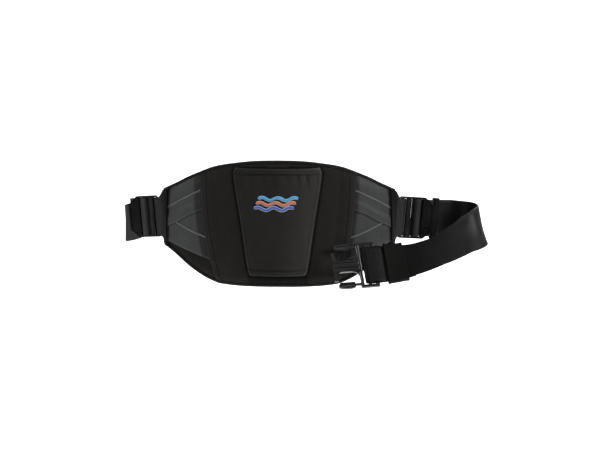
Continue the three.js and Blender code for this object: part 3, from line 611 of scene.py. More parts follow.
def sleeve_stand(along, height):
    """Stand of the sleeve's front: it arches from one side seam to the other, with a folded hem above and
    below, stitching grooves, gathers that fade down from the upper hem, and soft folds."""
    half = table_at(SLEEVE_ROWS, 1, height)
    open_share = np.clip(np.abs(along) / (half - 1.2), 0, 1)
    arch = 0.45 * (1 - open_share ** 2.4) ** 0.8 + 0.55 * (1 - open_share ** 9) ** 0.6
    bulge = table_at(SLEEVE_ROWS, 2, height) * arch
    inward, below_top, above_foot = inside_sleeve(along, height)
    hem = 0.7 * (1 - step(below_top, 7, 9)) - 0.7 * groove(below_top, SLEEVE_HEM, 0.9)
    foot = 0.5 * (1 - step(above_foot, 7, 9)) - 0.5 * groove(above_foot, SLEEVE_HEM, 0.9)
    side = -0.6 * groove(inward, 4.5, 1.2)
    drift = 2.6 * dents(along, height * 0.5, 22, 11)
    wave = np.sin(along * 0.5 + drift) + 0.5 * dents(along, height * 0.4, 6, 14)
    gathers = wave * np.exp(-np.clip(below_top - 9, 0, 99) / 15)
    broad = 1.4 * dents(along * 1.15 - height * 0.12, height * 0.42, 19, 12)
    folds = broad + 0.4 * dents(along, height * 0.7, 9, 13)
    middle = step(inward, 4, 16)
    return (sleeve_under(along, height) + bulge + FABRIC + hem + foot + side
            + middle * (1.4 * gathers * step(below_top, 6, 11) + 1.3 * folds * step(below_top, 8, 20)))


def band_lift(which, along, height):
    """Stand of a band's back over the pad: the upper band steps up where it laps over the lower one."""
    if which == "lower":
        return GAP + 0 * along
    lap = table_at(BAND_EDGES, 2, along)
    return GAP + (ELASTIC + GAP) * (1 - step(height, lap + 3, lap + 11))


def band_stand(which, along, height):
    """Stand of a band's front: a padded band that is a little fuller along its middle, with thin edges and
    small ripples across it where it is drawn tight."""
    low, top = band_edges(which, along)
    share = np.clip((height - low) / (top - low), 0, 1)
    full = 0.5 * np.sin(np.pi * share) ** 0.6
    ripple = 0.16 * dents(along * 1.6, height * 0.35, 9, 21 if which == "upper" else 22)
    dip = 0.6 * step(inside_panel(along, height), -9, 2)
    rest = pad_face(along, height) + band_lift(which, along, height) + ELASTIC
    return rest + full + ripple * (1 - dip) - dip


def band_edges(which, along):
    """Heights of a band's lower and upper edge. The upper band ends just inside the pad's top edge."""
    if which == "upper":
        return table_at(BAND_EDGES, 1, along), pad_top(along) - 1
    return table_at(BAND_EDGES, 3, along), table_at(BAND_EDGES, 2, along)


# Webbing lines
def curve_through(points, share):
    """A smooth curve through all the points: each stretch is a cubic whose slopes at its ends weigh the
    ways to its neighbours by the square roots of their lengths. Returns places and directions."""
    ends = [2 * points[0] - points[1], 2 * points[-1] - points[-2]]
    row = np.vstack([ends[0], points, ends[1]])
    last = len(points) - 1
    i = np.minimum(np.floor(share * last).astype(int), last - 1)
    t = (share * last - i)[:, None]
    p0, p1, p2, p3 = (row[i + k] for k in range(4))
    root = lambda a, b: np.sqrt(np.linalg.norm(b - a, axis=1))[:, None]
    d0, d1, d2 = root(p0, p1), root(p1, p2), root(p2, p3)
    m1 = ((p1 - p0) / d0 - (p2 - p0) / (d0 + d1) + (p2 - p1) / d1) * d1
    m2 = ((p2 - p1) / d1 - (p3 - p1) / (d1 + d2) + (p3 - p2) / d2) * d1
    a, b = 2 * p1 - 2 * p2 + m1 + m2, -3 * p1 + 3 * p2 - 2 * m1 - m2
    ahead = m1 + 2 * b * t + 3 * a * t * t
    return p1 + m1 * t + b * t * t + a * t ** 3, unit(ahead)


class Stations:
    """A row of places on a webbing line, each with the direction across it and half its width."""

    def __init__(self, points, across, half=HALF_WEBBING):
        self.points = np.asarray(points, float)
        self.across = np.asarray(across, float)
        self.half = np.broadcast_to(np.asarray(half, float), (len(self.points),)).copy()

    def __add__(self, more):
        return Stations(*(np.concatenate([a, b]) for a, b in (
            (self.points, more.points), (self.across, more.across), (self.half, more.half))))

    def at(self, share):
        """Points, ahead, across, normal and half width of the smooth line at these shares of its
        stations."""
        share = np.atleast_1d(np.asarray(share, float))
        last = len(self.points) - 1
        i = np.minimum(np.floor(share * last).astype(int), last - 1)
        t = (share * last - i)[:, None]
        point, ahead = curve_through(self.points, share)
        across = mix(self.across[i], self.across[i + 1], t)
        across = unit(across - ahead * np.sum(across * ahead, axis=1)[:, None])
        return point, ahead, across, np.cross(ahead, across), mix(self.half[i], self.half[i + 1], t[:, 0])


class Frame:
    """A lock's or buckle's own axes in the belt: outward, across and face, from its origin."""

    def __init__(self, origin, outward, across, face):
        self.origin, self.outward, self.across, self.face = origin, outward, across, face

    def place(self, x, y, z):
        """Points this far outward, across and out of the face."""
        x, y, z = (np.asarray(v, float)[..., None] for v in (x, y, z))
        return self.origin + self.outward * x + self.across * y + self.face * z

    def stations(self, rows):
        """Stations from rows of x, z, and where given y and skew, which leans the upper edge outward."""
        x, z, y, skew = np.array([tuple(r) + (0, 0)[: 4 - len(r)] for r in rows], float).T
        return Stations(self.place(x, y, z), self.across + self.outward * skew[:, None])


def lock_frame(side):
    """The right-hand lock's frame is turned away from the viewer and droops. The left one mirrors it."""
    yaw, droop = math.radians(LOCK_YAW[side]), math.radians(LOCK_DROOP)
    outward = np.array([math.cos(yaw) * math.cos(droop), math.sin(yaw) * math.cos(droop), -math.sin(droop)])
    face = np.array([math.sin(yaw), -math.cos(yaw), 0])
    origin = on_drum(*NECK) + outward * BAR_INSET
    flip = HAND[side]
    return Frame(origin * flip, outward * flip, np.cross(face, outward) * flip, face * flip)


def free_run(rows):
    """Stations of a free run. The webbing stands upright, leant about the way ahead by the last column."""
    rows = np.asarray(rows, float)
    points = rows[:, :3]
    _, ahead = curve_through(points, np.linspace(0, 1, len(points)))
    upright = unit(np.array([0, 0, 1]) - ahead * ahead[:, 2:3])
    lean = np.radians(rows[:, 3:4])
    return Stations(points, upright * np.cos(lean) + np.cross(ahead, upright) * np.sin(lean))


def half_at_end(run, reach):
    """The frame of a buckle half: its origin lies this far straight on from the run's end."""
    point, ahead, across, normal, _ = (v[0] for v in run.at(1))
    return Frame(point + ahead * reach, ahead, across, normal)


def tail_behind(run):
    """The right strap's tail: it lies behind the run it came along."""
    back = np.linspace(TAIL_FIRST, TAIL_LAST, TAIL_COUNT)
    point, _, across, normal, _ = run.at(1 - back / (len(run.points) - 1))
    return Stations(point + normal * TAIL_BEHIND, across)


def without_last(run):
    """A run without its last station, where the threading of a buckle half takes over."""
    return Stations(run.points[:-1], run.across[:-1], run.half[:-1])


# Sheets and webbing as pieces
def woven_strip(name, stations, thickness, per_station=8):
    """Webbing: a flat section with round selvedges is carried along the stations. Its ends are closed, and
    the selvedges waver a little."""
    share = np.linspace(0, 1, per_station * (len(stations.points) - 1) + 1)
    point, _, across, normal, half = stations.at(share)
    far = length_along(point)
    round_steps = np.linspace(-np.pi / 2, np.pi / 2, 5)
    flat = np.linspace(1, -1, 13)[1:-1]
    reach = thickness / 2
    # Round the section: which side each point is on, how far it bulges past it, and how far out it lies
    side = np.concatenate([1 + 0 * round_steps, flat, -1 + 0 * round_steps, -flat])
    bulge = np.concatenate([np.cos(round_steps), 0 * flat, -np.cos(round_steps), 0 * flat])
    out = np.concatenate([np.sin(round_steps), 1 + 0 * flat, -np.sin(round_steps), -1 + 0 * flat])
    waver = 0.12 * dents(far, 0 * far, 17, 31)[:, None]
    width = (half[:, None] - reach) * side + bulge * reach + waver * side
    rise = np.broadcast_to(out * reach, width.shape)
    body = point[:, None] + across[:, None] * width[..., None] + normal[:, None] * rise[..., None]
    turn = np.concatenate([[0], np.cumsum(np.hypot(np.diff(width[0]), np.diff(rise[0])))])
    return closed_tube(name, body, places(far[:, None], turn))


def stitches(name, points, out):
    """A row of stitches on a line: each is a slim six-sided spindle that lies along it, half sunk in."""
    points, out = np.asarray(points, float), np.asarray(out, float)
    far = length_along(points)
    at = np.arange(STITCH_PITCH / 2, far[-1], STITCH_PITCH)
    pick = lambda rows, where: np.stack([np.interp(where, far, rows[:, k]) for k in range(3)], -1)
    middle, up = pick(points, at), pick(np.broadcast_to(out, points.shape), at)
    ahead = unit(pick(points, at + 0.4) - pick(points, at - 0.4))
    side = unit(np.cross(up, ahead))
    turn = np.arange(6) * np.pi / 3
    rings = []
    # Each stitch has four rings of six points: where they lie along it, and how thick it is there
    for share, girth in ((-0.5, 0.25), (-0.3, 1.0), (0.3, 1.0), (0.5, 0.25)):
        lift = 0.5 * STITCH_WIDTH * girth
        rings.append(
            middle[:, None] + ahead[:, None] * share * STITCH_LENGTH
            + side[:, None] * (np.cos(turn) * lift)[:, None] + up[:, None] * (np.sin(turn) * lift)[:, None]
        )
    body = np.stack(rings, 1)
    first = 24 * np.arange(len(at))[:, None]
    quads = (grid_faces(4, 6, ring_columns=True)[None] + first[:, None]).reshape(-1, 4).tolist()
    caps = np.concatenate([first + np.arange(6), first + np.arange(18, 24)]).tolist()
    return face_outwards(new_piece(name, body.reshape(-1, 3), quads + caps))


def raised_cord(name, points, out, width, rise):
    """A cord that lies on cloth: a flattened oval section carried along the points, tapered at its ends."""
    points, out = np.asarray(points, float), np.broadcast_to(np.asarray(out, float), np.shape(points))
    ahead = unit(np.gradient(points, axis=0))
    side = unit(np.cross(out, ahead))
    far = length_along(points)
    taper = np.sqrt(np.clip(np.minimum(far, far[-1] - far) / (0.5 * width) + 0.05, 0, 1))[:, None]
    turn = np.arange(10) * np.pi / 5
    body = (points[:, None] + side[:, None] * (taper * np.cos(turn) * width / 2)[..., None]
            + out[:, None] * (taper * np.sin(turn) * rise)[..., None])
    return closed_tube(name, body, places(far[:, None], turn * width / 6))


def moulded_copy(node, width):
    """A moulded piece in its frame shape: merged, its flats joined, and every edge rounded."""
    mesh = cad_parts[node].data.copy()
    mesh.name = node + "_moulded"
    through_bmesh(mesh, join_flats)
    piece = put(mesh.name, mesh)
    edge = piece.modifiers.new("rounded edges", "BEVEL")
    edge.width, edge.segments = width * MM, 2
    edge.limit_method, edge.angle_limit = "ANGLE", math.radians(28)
    edge.use_clamp_overlap, edge.harden_normals = True, False
    mesh.polygons.foreach_set("use_smooth", [True] * len(mesh.polygons))
    through_bmesh(mesh, keep_flats)
    return piece


def join_flats(shape):
    """Merges points less than 0.02 mm apart, and joins faces that meet at less than 3 degrees."""
    bmesh.ops.remove_doubles(shape, verts=shape.verts, dist=0.02 * MM)
    bmesh.ops.dissolve_limit(shape, angle_limit=math.radians(3), verts=shape.verts, edges=shape.edges)
    bmesh.ops.recalc_face_normals(shape, faces=shape.faces)


def keep_flats(shape):
    """Marks the edges that turn by 40 degrees or more as sharp, so that flats stay flat."""
    for edge in shape.edges:
        edge.smooth = len(edge.link_faces) == 2 and edge.calc_face_angle(0) < math.radians(40)


# The padded back
def lumbar_pad():
    """Foam in cloth: a closed shape between its outer and inner face, filled by a cloth simulation whose
    movement is held to what the cover and the wearer's side allow."""
    s, t = unit_grid(120, 60)
    along = mix(-PAD_END, PAD_END, s)
    height = mix(pad_bottom(along) + 0.6, pad_top(along) - 0.6, (1 - np.cos(np.pi * t)) / 2)
    front = on_drum(along, height, pad_face(along, height) - 0.6)
    shell = closed_between("pad_start", front, on_drum(along, height, 0.4))
    remesh = shell.modifiers.new("even mesh", "REMESH")
    remesh.mode, remesh.voxel_size, remesh.use_smooth_shade = "VOXEL", PAD_MESH * MM, True
    mesh = bpy.data.meshes.new_from_object(shell.evaluated_get(bpy.context.evaluated_depsgraph_get()))
    bpy.data.objects.remove(shell)
    pad = put("lumbar_pad_padded", mesh)
    fill_with_foam(pad)
    sew_channels(pad)
    fine = pad.modifiers.new("fine", "SUBSURF")
    fine.levels = fine.render_levels = 1
    return pad


def fill_with_foam(pad):
    """Runs the cloth simulation on the pad's cover, then holds each point's move under a cap by a
    hyperbolic tangent. The cap is widest on the inner face away from the rim, where nothing lies on it."""
    start = read_points(pad.data)
    cloth = pad.modifiers.new("filling", "CLOTH")
    cloth.settings.use_pressure = True
    cloth.settings.uniform_pressure_force = FOAM_PRESSURE
    cloth.settings.effector_weights.gravity = 0
    cloth.settings.tension_stiffness = cloth.settings.compression_stiffness = FOAM_STIFFNESS
    scene = bpy.context.scene
    for number in range(1, FOAM_FRAMES + 1):
        scene.frame_set(number)
    filled = pad.evaluated_get(bpy.context.evaluated_depsgraph_get())
    end = read_points(filled.data)
    pad.modifiers.remove(cloth)
    scene.frame_set(1)
    move = end - start
    along, height, stand = off_drum(start)
    inside = np.minimum(pad_top(along) - height, height - pad_bottom(along))
    inside = np.minimum(inside, 140 - np.abs(along))
    cap = mix(0.35 + 2.4 * step(inside, 4, 26), 0.45, step(stand, 1, 3))
    size = np.linalg.norm(move, axis=1)
    held = start + move * (np.tanh(size / cap) * cap / np.maximum(size, 1e-6))[:, None]
    write_points(pad.data, held)


def sew_channels(pad):
    """Where the panel is sewn on, the stitches draw the pad's inner face out to a set stand."""
    along, height, stand = off_drum(read_points(pad.data))
    inward = inside_panel(along, height)
    drawn = groove(inward, 0, 4) * (1 - step(stand, 1.2, 2.4)) * (np.abs(height) < 84)
    sewn_down = on_drum(along, height, mix(stand, CHANNEL_STAND, drawn))
    write_points(pad.data, sewn_down)


def write_points(mesh, points):
    """Moves a mesh's points to these places in mm."""
    mesh.vertices.foreach_set("co", (points * MM).ravel())
    mesh.update()


def read_points(mesh):
    """A mesh's points in mm."""
    points = np.empty(3 * len(mesh.vertices))
    mesh.vertices.foreach_get("co", points)
    return points.reshape(-1, 3) / MM


def centre_panel():
    """Cloth over the middle of the pad, on a grid between its two seams."""
    s, t = unit_grid(191, 151)
    seam = table_at(PANEL_SEAM, 1, mix(pad_bottom(0.0), pad_top(0.0), t))
    along = mix(-seam, seam, mix(s, (1 - np.cos(np.pi * s)) / 2, 0.4))
    height = mix(pad_bottom(along) + 1.5, pad_top(along) - 1.5, t)
    points = on_drum(along, height, panel_stand(along, height))
    piece = surface("centre_panel_cloth", points, places(along, height))
    inward = inside_panel(along, height)
    inside, below_top, above_foot = inside_sleeve(along, height)
    # Painted shadow under and beside the sleeve, a little weaker below its foot, painted shade in the hem's
    # stitch groove, and painted highlights along the folded hem edges by the seams
    beside = (1 - step(np.maximum(-inside, 0), 0.5, 5)) * (below_top > -1)
    sleeve_shadow = beside * (1 - 0.3 * step(-above_foot, 0.5, 6))
    edge_highlight = 0.2 * groove(inward, 1.2, 1.1) + 0.1 * groove(inward, 6, 1)
    mark_painted_light(piece, sleeve_shadow + 0.6 * groove(inward, 7.8, 0.9), edge_highlight)
    return thicken(piece, FABRIC - 0.2)


def net_sleeve():
    """The sleeve for a net's handle: a trapezoid with rounded upper corners, stitched down at its sides."""
    s, t = unit_grid(151, 171)
    height = mix(SLEEVE_FOOT, SLEEVE_TOP, t)
    half = table_at(SLEEVE_ROWS, 1, height)
    along = mix(-half, half, (1 - np.cos(np.pi * s)) / 2)
    mouth = 0.9 * groove(height, SLEEVE_TOP, 6) * (1 - (along / half) ** 2)
    points = on_drum(along, height, sleeve_stand(along, height) + mouth)
    piece = surface("net_sleeve_cloth", points, places(along, height))
    inward, below_top, above_foot = inside_sleeve(along, height)
    # Painted highlights along the folded side, top and foot edges, painted light that makes the right half
    # lighter, and painted shade in the stitch grooves and along the side edges
    edge_highlight = groove(inward, 2.2, 1) + 0.35 * groove(below_top, 0.8, 1) + 0.5 * groove(above_foot, 0.8, 1)
    hems = groove(below_top, SLEEVE_HEM, 1) + groove(above_foot, SLEEVE_HEM, 1)
    stitched = hems + 0.5 * groove(inward, 5.2, 0.8)
    sleeve_painted_light = 0.32 * edge_highlight + 0.2 * step(along, -10, 50)
    mark_painted_light(piece, 0.8 * stitched + 0.8 * groove(inward, 0, 0.7), sleeve_painted_light)
    return thicken(piece, FABRIC - 0.2)


def wing_band(which, side):
    """An elastic band on a wing, from under the panel to under the neck loop. The left one mirrors it."""
    s, t = unit_grid(81, 61)
    rough = mix(80, BAND_END, s)
    low, top = band_edges(which, rough)
    inner = table_at(PANEL_SEAM, 1, mix(low, top, t)) - 7
    along = mix(inner, BAND_END, s)
    low, top = band_edges(which, along)
    height = mix(low, top, t)
    points = on_drum(along, height, band_stand(which, along, height)) * HAND[side]
    if side == "left":
        points, along, height = points[::-1], along[::-1], height[::-1]
    cloth = np.stack([along, 46 * t], -1)
    piece = surface(f"{which}_band_{side}_elastic", points, cloth)
    # Painted shadow that the raised panel casts on the band beside its seam, wider on the left, and painted
    # highlights along the band's hem edges
    near = -inside_panel(along, height)
    shade = (9, 13) if side == "left" else (3, 8)
    low, top = band_edges(which, along)
    hem = groove(np.minimum(height - low, top - height), 1.8, 0.8)
    mark_painted_light(piece, 0.62 * (1 - step(near, *shade)) + 0.3 * (1 - step(near, 0, 3)), 0.5 * hem)
    return thicken(piece, ELASTIC - 0.2)


def band_rib(which, side):
    """The light cord down the middle of a band."""
    rows = UPPER_RIB if which == "upper" else LOWER_RIB
    along = np.linspace(rows[0][0], rows[-1][0], 60)
    height = table_at(rows, 1, along)
    points = on_drum(along, height, band_stand(which, along, height) + 0.15)
    return raised_cord(f"{which}_rib_{side}", points * HAND[side], drum_out(along) * HAND[side], 2.6, 0.85)


def edge_cover(along, height, edge):
    """How thick the cloth is that lies on the pad under the binding, from the panel out to the wing."""
    wing = GAP + ELASTIC + 0.6 if edge == "top" else 0.25
    on_wing = step(-inside_panel(along, height), -0.5, 3.5)
    return mix(panel_lift(along, height) + FABRIC + 0.3, wing, on_wing)


def inside_edge(edge, along, deep):
    """Along and height of places this deep inside the pad's top or bottom edge: from each point of the
    edge by that depth along its normal."""
    sign, line = (1, pad_top) if edge == "top" else (-1, pad_bottom)
    height = line(along)
    slope = np.gradient(height, along)[:, None]
    rise = sign * deep / np.hypot(slope, 1)
    return along[:, None] + slope * rise, height[:, None] - rise


def edge_binding(edge):
    """Grosgrain tape folded over the pad's rim: a strip carried along the outline that lies on the front,
    turns over the rim in a half round, and lies on the back."""
    along = np.linspace(-PAD_END + 1, PAD_END - 1, 321)
    leg = np.linspace(BINDING_LEG, 0, 7)
    turn = np.linspace(0, np.pi, 9)[1:-1]
    a, h = inside_edge(edge, along, np.concatenate([leg, -BINDING_FOLD * np.sin(turn), leg[::-1]]))
    front = pad_face(a, h) + edge_cover(a, h, edge)
    behind = 0.15 - 0.15 * step(np.abs(a), 135, 145)
    over = np.concatenate([0 * leg, (1 - np.cos(turn)) / 2, 1 + 0 * leg])
    points = on_drum(a, h, mix(front, behind, over))
    uv = places(along[:, None], length_along(points[len(points) // 2]))
    if edge == "bottom":
        points, uv = points[::-1], uv[::-1]
    return thicken(surface(f"edge_binding_{edge}", points, uv), BINDING_WALL, 1.0)


def row_on_binding(edge):
    """A row along the middle of the binding, and the directions out of it."""
    a, h = inside_edge(edge, np.linspace(-140, 140, 300), BINDING_ROW)
    a, h = a[:, 0], h[:, 0]
    return on_drum(a, h, pad_face(a, h) + edge_cover(a, h, edge) + BINDING_WALL), drum_out(a)


def neck_loop(side, lock):
    """Webbing folded over the neck and round the lock's fixed bar."""

    def leaf(rows):
        """Stations of a leaf that lies on the drum, in front of the neck or behind it."""
        along, stand, half = (np.array([r[k] for r in rows], float) for k in range(3))
        over = np.where(stand > 0, table_at(PAD_OUTLINE, 3, along), 0)
        points = on_drum(along, table_at(LOOP_MIDDLE, 1, along), over + stand) * HAND[side]
        return Stations(points, np.tile([0.0, 0, 1], (len(rows), 1)), half)

    stations = leaf(LOOP_FRONT) + lock.stations(LOOP_ROUND_BAR) + leaf(LOOP_BACK)
    piece = woven_strip(f"neck_loop_{side}_webbing", stations, FABRIC)
    reach = (read_points(piece.data) - lock.origin) @ lock.outward
    # Painted highlight where the webbing turns over the fixed bar, and painted shade on the leaves along
    # the neck and where the webbing wraps round the far side of the bar
    turned = step(reach, -26, -22) * (1 - step(reach, -14, -11))
    mark_painted_light(piece, 0.7 * (1 - step(reach, -34, -26)) + 0.6 * step(reach, -12, -10), 0.9 * turned)
    return piece


def keeper(name, place, inside, hem):
    """A ring of elastic round the webbing: a rounded oblong carried a short way along it, with its edges
    turned back into a raised hem."""
    share = np.linspace(0, 1, 25)
    corner = np.linspace(0, np.pi / 2, 4)
    reach, high = KEEPER_HALF + KEEPER_WALL, inside + KEEPER_WALL
    radius = KEEPER_WALL * 1.6
    ring = []
    for quarter, (sx, sy) in enumerate(((1, 1), (-1, 1), (-1, -1), (1, -1))):
        turn = corner + quarter * np.pi / 2
        ring.append(np.stack([sx * (reach - radius) + radius * np.cos(turn),
                              sy * (high - radius) + radius * np.sin(turn)], -1))
    ring = np.concatenate([np.concatenate([a, np.linspace(a[-1], b[0], 12)[1:-1]])
                           for a, b in zip(ring, ring[1:] + ring[:1])])
    swell = hem * (groove(share, 0.04, 0.07) + groove(share, 0.94, 0.1))
    grow = 1 + swell[:, None] / np.array([reach, high])
    across, out = ring[None, :, 0] * grow[:, :1], ring[None, :, 1] * grow[:, 1:]
    points = place(*np.broadcast_arrays(across, out), share)
    around = length_along(np.concatenate([ring, ring[:1]]))[:-1]
    uv = places(around, length_along(points[:, 0])[:, None])
    return thicken(face_outwards(surface(name, points, uv, ring_columns=True)), KEEPER_WALL)


# The making of the belt
def front_row(along, height, stand, lift=STITCH_LIFT, side="right"):
    """Points on a front surface and the directions out of it. The left-hand side mirrors the right."""
    along, height = np.broadcast_arrays(np.asarray(along, float), np.asarray(height, float))
    return on_drum(along, height, stand(along, height) + lift) * HAND[side], drum_out(along) * HAND[side]


def sewn(name, row, slot="panel_cloth"):
    """A row of black stitches over points and the directions out of them, tied to the frame."""
    dress(stitches(name, *row), black_thread, slot)


def studio_world():
    """White to the camera, and a dim grey room to everything else, so that black plastic has something
    dark to mirror."""
    world = bpy.data.worlds.new("studio")
    bpy.context.scene.world = world
    world.use_nodes = True
    tree = world.node_tree
    room = tree.nodes["Background"]
    room.inputs["Color"].default_value = linear("#ffffff")
    room.inputs["Strength"].default_value = ROOM_LIGHT
    white = add(tree, "ShaderNodeBackground", {"Color": linear("#ffffff"), "Strength": 1.0})
    seen = add(tree, "ShaderNodeLightPath", {}).outputs["Is Camera Ray"]
    both = add(tree, "ShaderNodeMixShader", {}, {0: seen, 1: room.outputs[0], 2: white.outputs[0]})
    tree.links.new(both.outputs[0], tree.nodes["World Output"].inputs["Surface"])


def paper_sweep():
    """Background paper: flat under the belt, curving up behind it in a quarter round, and on up."""
    half, front, floor, flat, radius, wall = 3500, -600, -450, 3000, 900, 2500
    s, t = unit_grid(13, 60)
    # The first 0.4 of t lies flat, the next 0.3 is the round, and the rest stands up
    turn = np.clip((t - 0.4) / 0.3, 0, 1) * np.pi / 2
    x = mix(-half, half, s)
    y = front + flat * np.clip(t / 0.4, 0, 1) + radius * np.sin(turn)
    z = floor + radius * (1 - np.cos(turn)) + wall * np.clip((t - 0.7) / 0.3, 0, 1)
    sweep = surface("paper_sweep", np.stack([x, y, z], -1), np.stack([x, y], -1))
    sweep.data.materials.append(studio_paper("background_paper"))
    sweep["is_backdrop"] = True


set_camera()
studio_world()
paper_sweep()
for lamp in SOFTBOXES:
    softbox(*lamp)
bpy.context.scene.view_settings.view_transform = "Standard"

# A cloth's third colour is its highlight tint, which painted highlights and painted light mix in
pad_cloth = woven_cloth("polyester_pack_cloth_pad", "#0e0e0d", "#1f1e1c", "#33322f", 1.4, "Object")
panel_cloth = woven_cloth("polyester_pack_cloth_panel", "#131211", "#252422", "#3c3b38", 1.4)
sleeve_cloth = woven_cloth("polyester_pack_cloth_sleeve", "#111110", "#252422", "#4a4946", 1.4)
satin_elastic = lined_cloth("knitted_satin_elastic", "#1f2020", "#343535", 1.5, 0.6, 0.28, "#454646")
grey_cord = lined_cloth("grey_piping_cord", "#3a3b3b", "#5c5d5d", 1.6, 0.6, 0.25)
webbing = lined_cloth("polyester_webbing", "#060505", "#100f0e", 1.8, 0.48, 0.24, "#1f1e1d")
dark_webbing = lined_cloth("polyester_webbing_neck", "#040404", "#0c0b0a", 1.8, 0.55, 0.16, "#191817")
keeper_elastic = lined_cloth("woven_keeper_elastic", "#050504", "#0f0e0d", 1.2, 0.7, 0.1)
grosgrain = lined_cloth("grosgrain_tape", "#0b0b0a", "#1a1917", 1.4, 0.7, 0.1)
acetal = moulded_acetal("moulded_black_acetal")
black_thread = spun_thread("black_polyester_thread", "#050505", "#151513")
pale_thread = spun_thread("pale_embroidery_thread", "#77848a", "#aeb9be")

# Back, middle panel and sleeve
pad = dress(lumbar_pad(), pad_cloth, "pad_cloth", "lumbar_pad")
panel = dress(centre_panel(), panel_cloth, "panel_cloth", "centre_panel")
sleeve = dress(net_sleeve(), sleeve_cloth, "sleeve_cloth", "net_sleeve")
for edge in ("top", "bottom"):
    dress(edge_binding(edge), grosgrain, "pad_cloth")

# Wings
for side in ("left", "right"):
    for which in ("upper", "lower"):
        node = f"{which}_band_{side}"
        dress(wing_band(which, side), satin_elastic, "elastic", node)
        dress(band_rib(which, side), grey_cord, "elastic")

# Locks, loops and webbing
locks = {side: lock_frame(side) for side in ("left", "right")}
for side, lock in locks.items():
    dress(moulded_copy(f"ladder_lock_{side}", 0.8), acetal, "buckle_plastic", f"ladder_lock_{side}")
loops = {side: dress(neck_loop(side, lock), dark_webbing, "webbing", f"neck_loop_{side}")
         for side, lock in locks.items()}
right_run, left_run = free_run(RIGHT_RUN), free_run(LEFT_RUN)
male, female = half_at_end(right_run, MALE_REACH), half_at_end(left_run, FEMALE_REACH)
right_line = (locks["right"].stations(TAIL_RIGHT + LOCK_THREADING + OUT_RIGHT) + without_last(right_run)
              + male.stations(MALE_THREADING) + tail_behind(right_run))
left_line = (locks["left"].stations(TAIL_LEFT + LOCK_THREADING + LEFT_TURN) + without_last(left_run)
             + female.stations(FEMALE_THREADING))
straps = {
    side: dress(woven_strip(f"strap_{side}_webbing", line, WEBBING), webbing, "webbing", f"strap_{side}")
    for side, line in (("right", right_line), ("left", left_line))
}
# Painted shade darkens the right strap and dulls its shine in its front run and near the lock, and the left
# strap is mixed towards its lighter tint all over
x, y, _ = read_points(straps["right"].data).T
strap_shade = np.where(y < 25, 1 - step(x, 170, 235), (y > 45) * step(x, 200, 225))
mark_painted_light(straps["right"], 0.75 * strap_shade, 0 * x)
mark_painted_light(straps["left"], np.zeros(1), np.full(1, 0.8))
for half in ("buckle_male", "buckle_female"):
    dress(moulded_copy(half, 0.4), acetal, "buckle_plastic", half)


def head_grip(side):
    """The ribbed grip that closes the slot in an arm's head, on the buckle's own axes: across the head its
    stand is a row of rounded ribs, and it is closed by its mirror image behind."""
    s, t = unit_grid(65, 9)
    rib = 1.1 + 0.7 * np.abs(np.sin(np.pi * s * GRIP_RIBS)) * np.sin(np.pi * t) ** 0.4
    x, y = mix(*GRIP_REACH, s), side * mix(*GRIP_ACROSS, t)
    name = "head_grip_lower" if side < 0 else "head_grip_upper"
    return closed_between(name, male.place(x, y, rib), male.place(x, y, -rib))


for side in (-1, 1):
    dress(head_grip(side), acetal, "buckle_plastic")


def on_front_run(across, out, share):
    """The front keeper's place: round the strap and the tail behind it."""
    stations = mix(*KEEPER_FRONT, share) / (len(right_run.points) - 1)
    point, _, side, normal, _ = right_run.at(stations)
    return (point[:, None] + side[:, None] * across[..., None]
            + normal[:, None] * (out + TAIL_BEHIND / 2)[..., None])


def on_lock_tail(across, out, share):
    """The right keeper's place: round the tail and the strap beyond the lock."""
    return locks["right"].place(mix(*KEEPER_RIGHT, share)[:, None], across, KEEPER_RIGHT_MIDDLE + out)


keepers = [
    dress(keeper(f"{node}_elastic", place, inside, hem), keeper_elastic, "webbing", node)
    for node, place, inside, hem in (("keeper_front", on_front_run, KEEPER_FRONT_INSIDE, 0.5),
                                     ("keeper_right", on_lock_tail, KEEPER_RIGHT_INSIDE, 0.15))
]

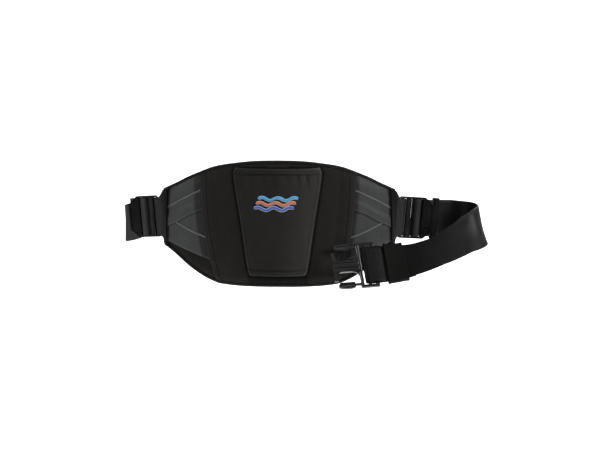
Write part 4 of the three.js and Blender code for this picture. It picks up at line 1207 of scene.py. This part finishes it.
# Seams
for side in HAND:
    height = np.linspace(-73, 73, 120)
    seam = table_at(PANEL_SEAM, 1, height)
    row = front_row(seam - PANEL_HEM, height, panel_stand, side=side)
    sewn(f"panel_seam_stitches_{side}", row)
    behind = on_drum(seam, height, CHANNEL_STAND - STITCH_LIFT) * HAND[side], -drum_out(seam) * HAND[side]
    sewn(f"back_seam_stitches_{side}", behind, "pad_cloth")
    height = np.linspace(-64, 73, 110)
    for number, inward in enumerate(SLEEVE_SIDES):
        row = front_row(table_at(SLEEVE_ROWS, 1, height) - inward, height, sleeve_stand, side=side)
        sewn(f"sleeve_side_stitches_{side}_{number}", row, "sleeve_cloth")
for name, height in (("upper", SLEEVE_TOP - SLEEVE_HEM), ("lower", SLEEVE_FOOT + SLEEVE_HEM)):
    reach = float(table_at(SLEEVE_ROWS, 1, height)) - 5
    row = front_row(np.linspace(-reach, reach, 90), height, sleeve_stand)
    sewn(f"sleeve_hem_stitches_{name}", row, "sleeve_cloth")

near, far = PATCH_SIDES
for corner, (u0, v0, u1, v1) in enumerate((
    (near, PATCH_TOP + 0.2, far, PATCH_TOP + 0.2),
    (near, PATCH_TOP, near, PATCH_FOOT),
    (far, PATCH_TOP, far, PATCH_FOOT),
)):
    share = np.linspace(0, 1, 40)
    row = front_row(mix(u0, u1, share), mix(v0, v1, share), sleeve_stand)
    sewn(f"sleeve_patch_stitches_{corner}", row, "sleeve_cloth")
for edge in ("top", "bottom"):
    sewn(f"binding_stitches_{edge}", row_on_binding(edge), "pad_cloth")
for side in HAND:
    along = np.linspace(*WING_ROW, 90)
    row = front_row(along, table_at(BAND_EDGES, 3, along) - WING_ROW_DEEP, pad_face, 0.2, side)
    sewn(f"wing_stitches_{side}", row, "pad_cloth")
    for number, along in enumerate(NECK_ROWS):
        height = table_at(LOOP_MIDDLE, 1, along) + np.linspace(-NECK_ROW_HALF, NECK_ROW_HALF, 40)
        over = table_at(PAD_OUTLINE, 3, along) + table_at([row[:2] for row in LOOP_FRONT], 1, along)
        row = front_row(along, height, lambda a, h: over + 0 * h, FABRIC / 2, side)
        sewn(f"neck_stitches_{side}_{number}", row, "webbing")

# A small mark of three ripples, embroidered on the sleeve
share = np.linspace(0, 1, 90)
for number, (colour, dark, light) in enumerate(MARK_COLOURS):
    along = mix(*MARK_ENDS, share) + MARK_SHIFT * (1 - number)
    height = MARK_MIDDLE + MARK_PITCH * (1 - number) + MARK_SWAY * np.sin(math.tau * share * MARK_TURNS)
    bright_thread = spun_thread(f"{colour}_embroidery_thread", dark, light)
    for layer, thread, width, rise in (("edge", pale_thread, 4.4, 0.4), ("fill", bright_thread, 3.3, 0.9)):
        cord = raised_cord(f"ripple_{colour}_{layer}", *front_row(along, height, sleeve_stand), width, rise)
        dress(cord, thread, "sleeve_cloth")

({
    "cad": [list(corner) for corner in cad_box],
    "visual": [list(corner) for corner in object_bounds()],
})
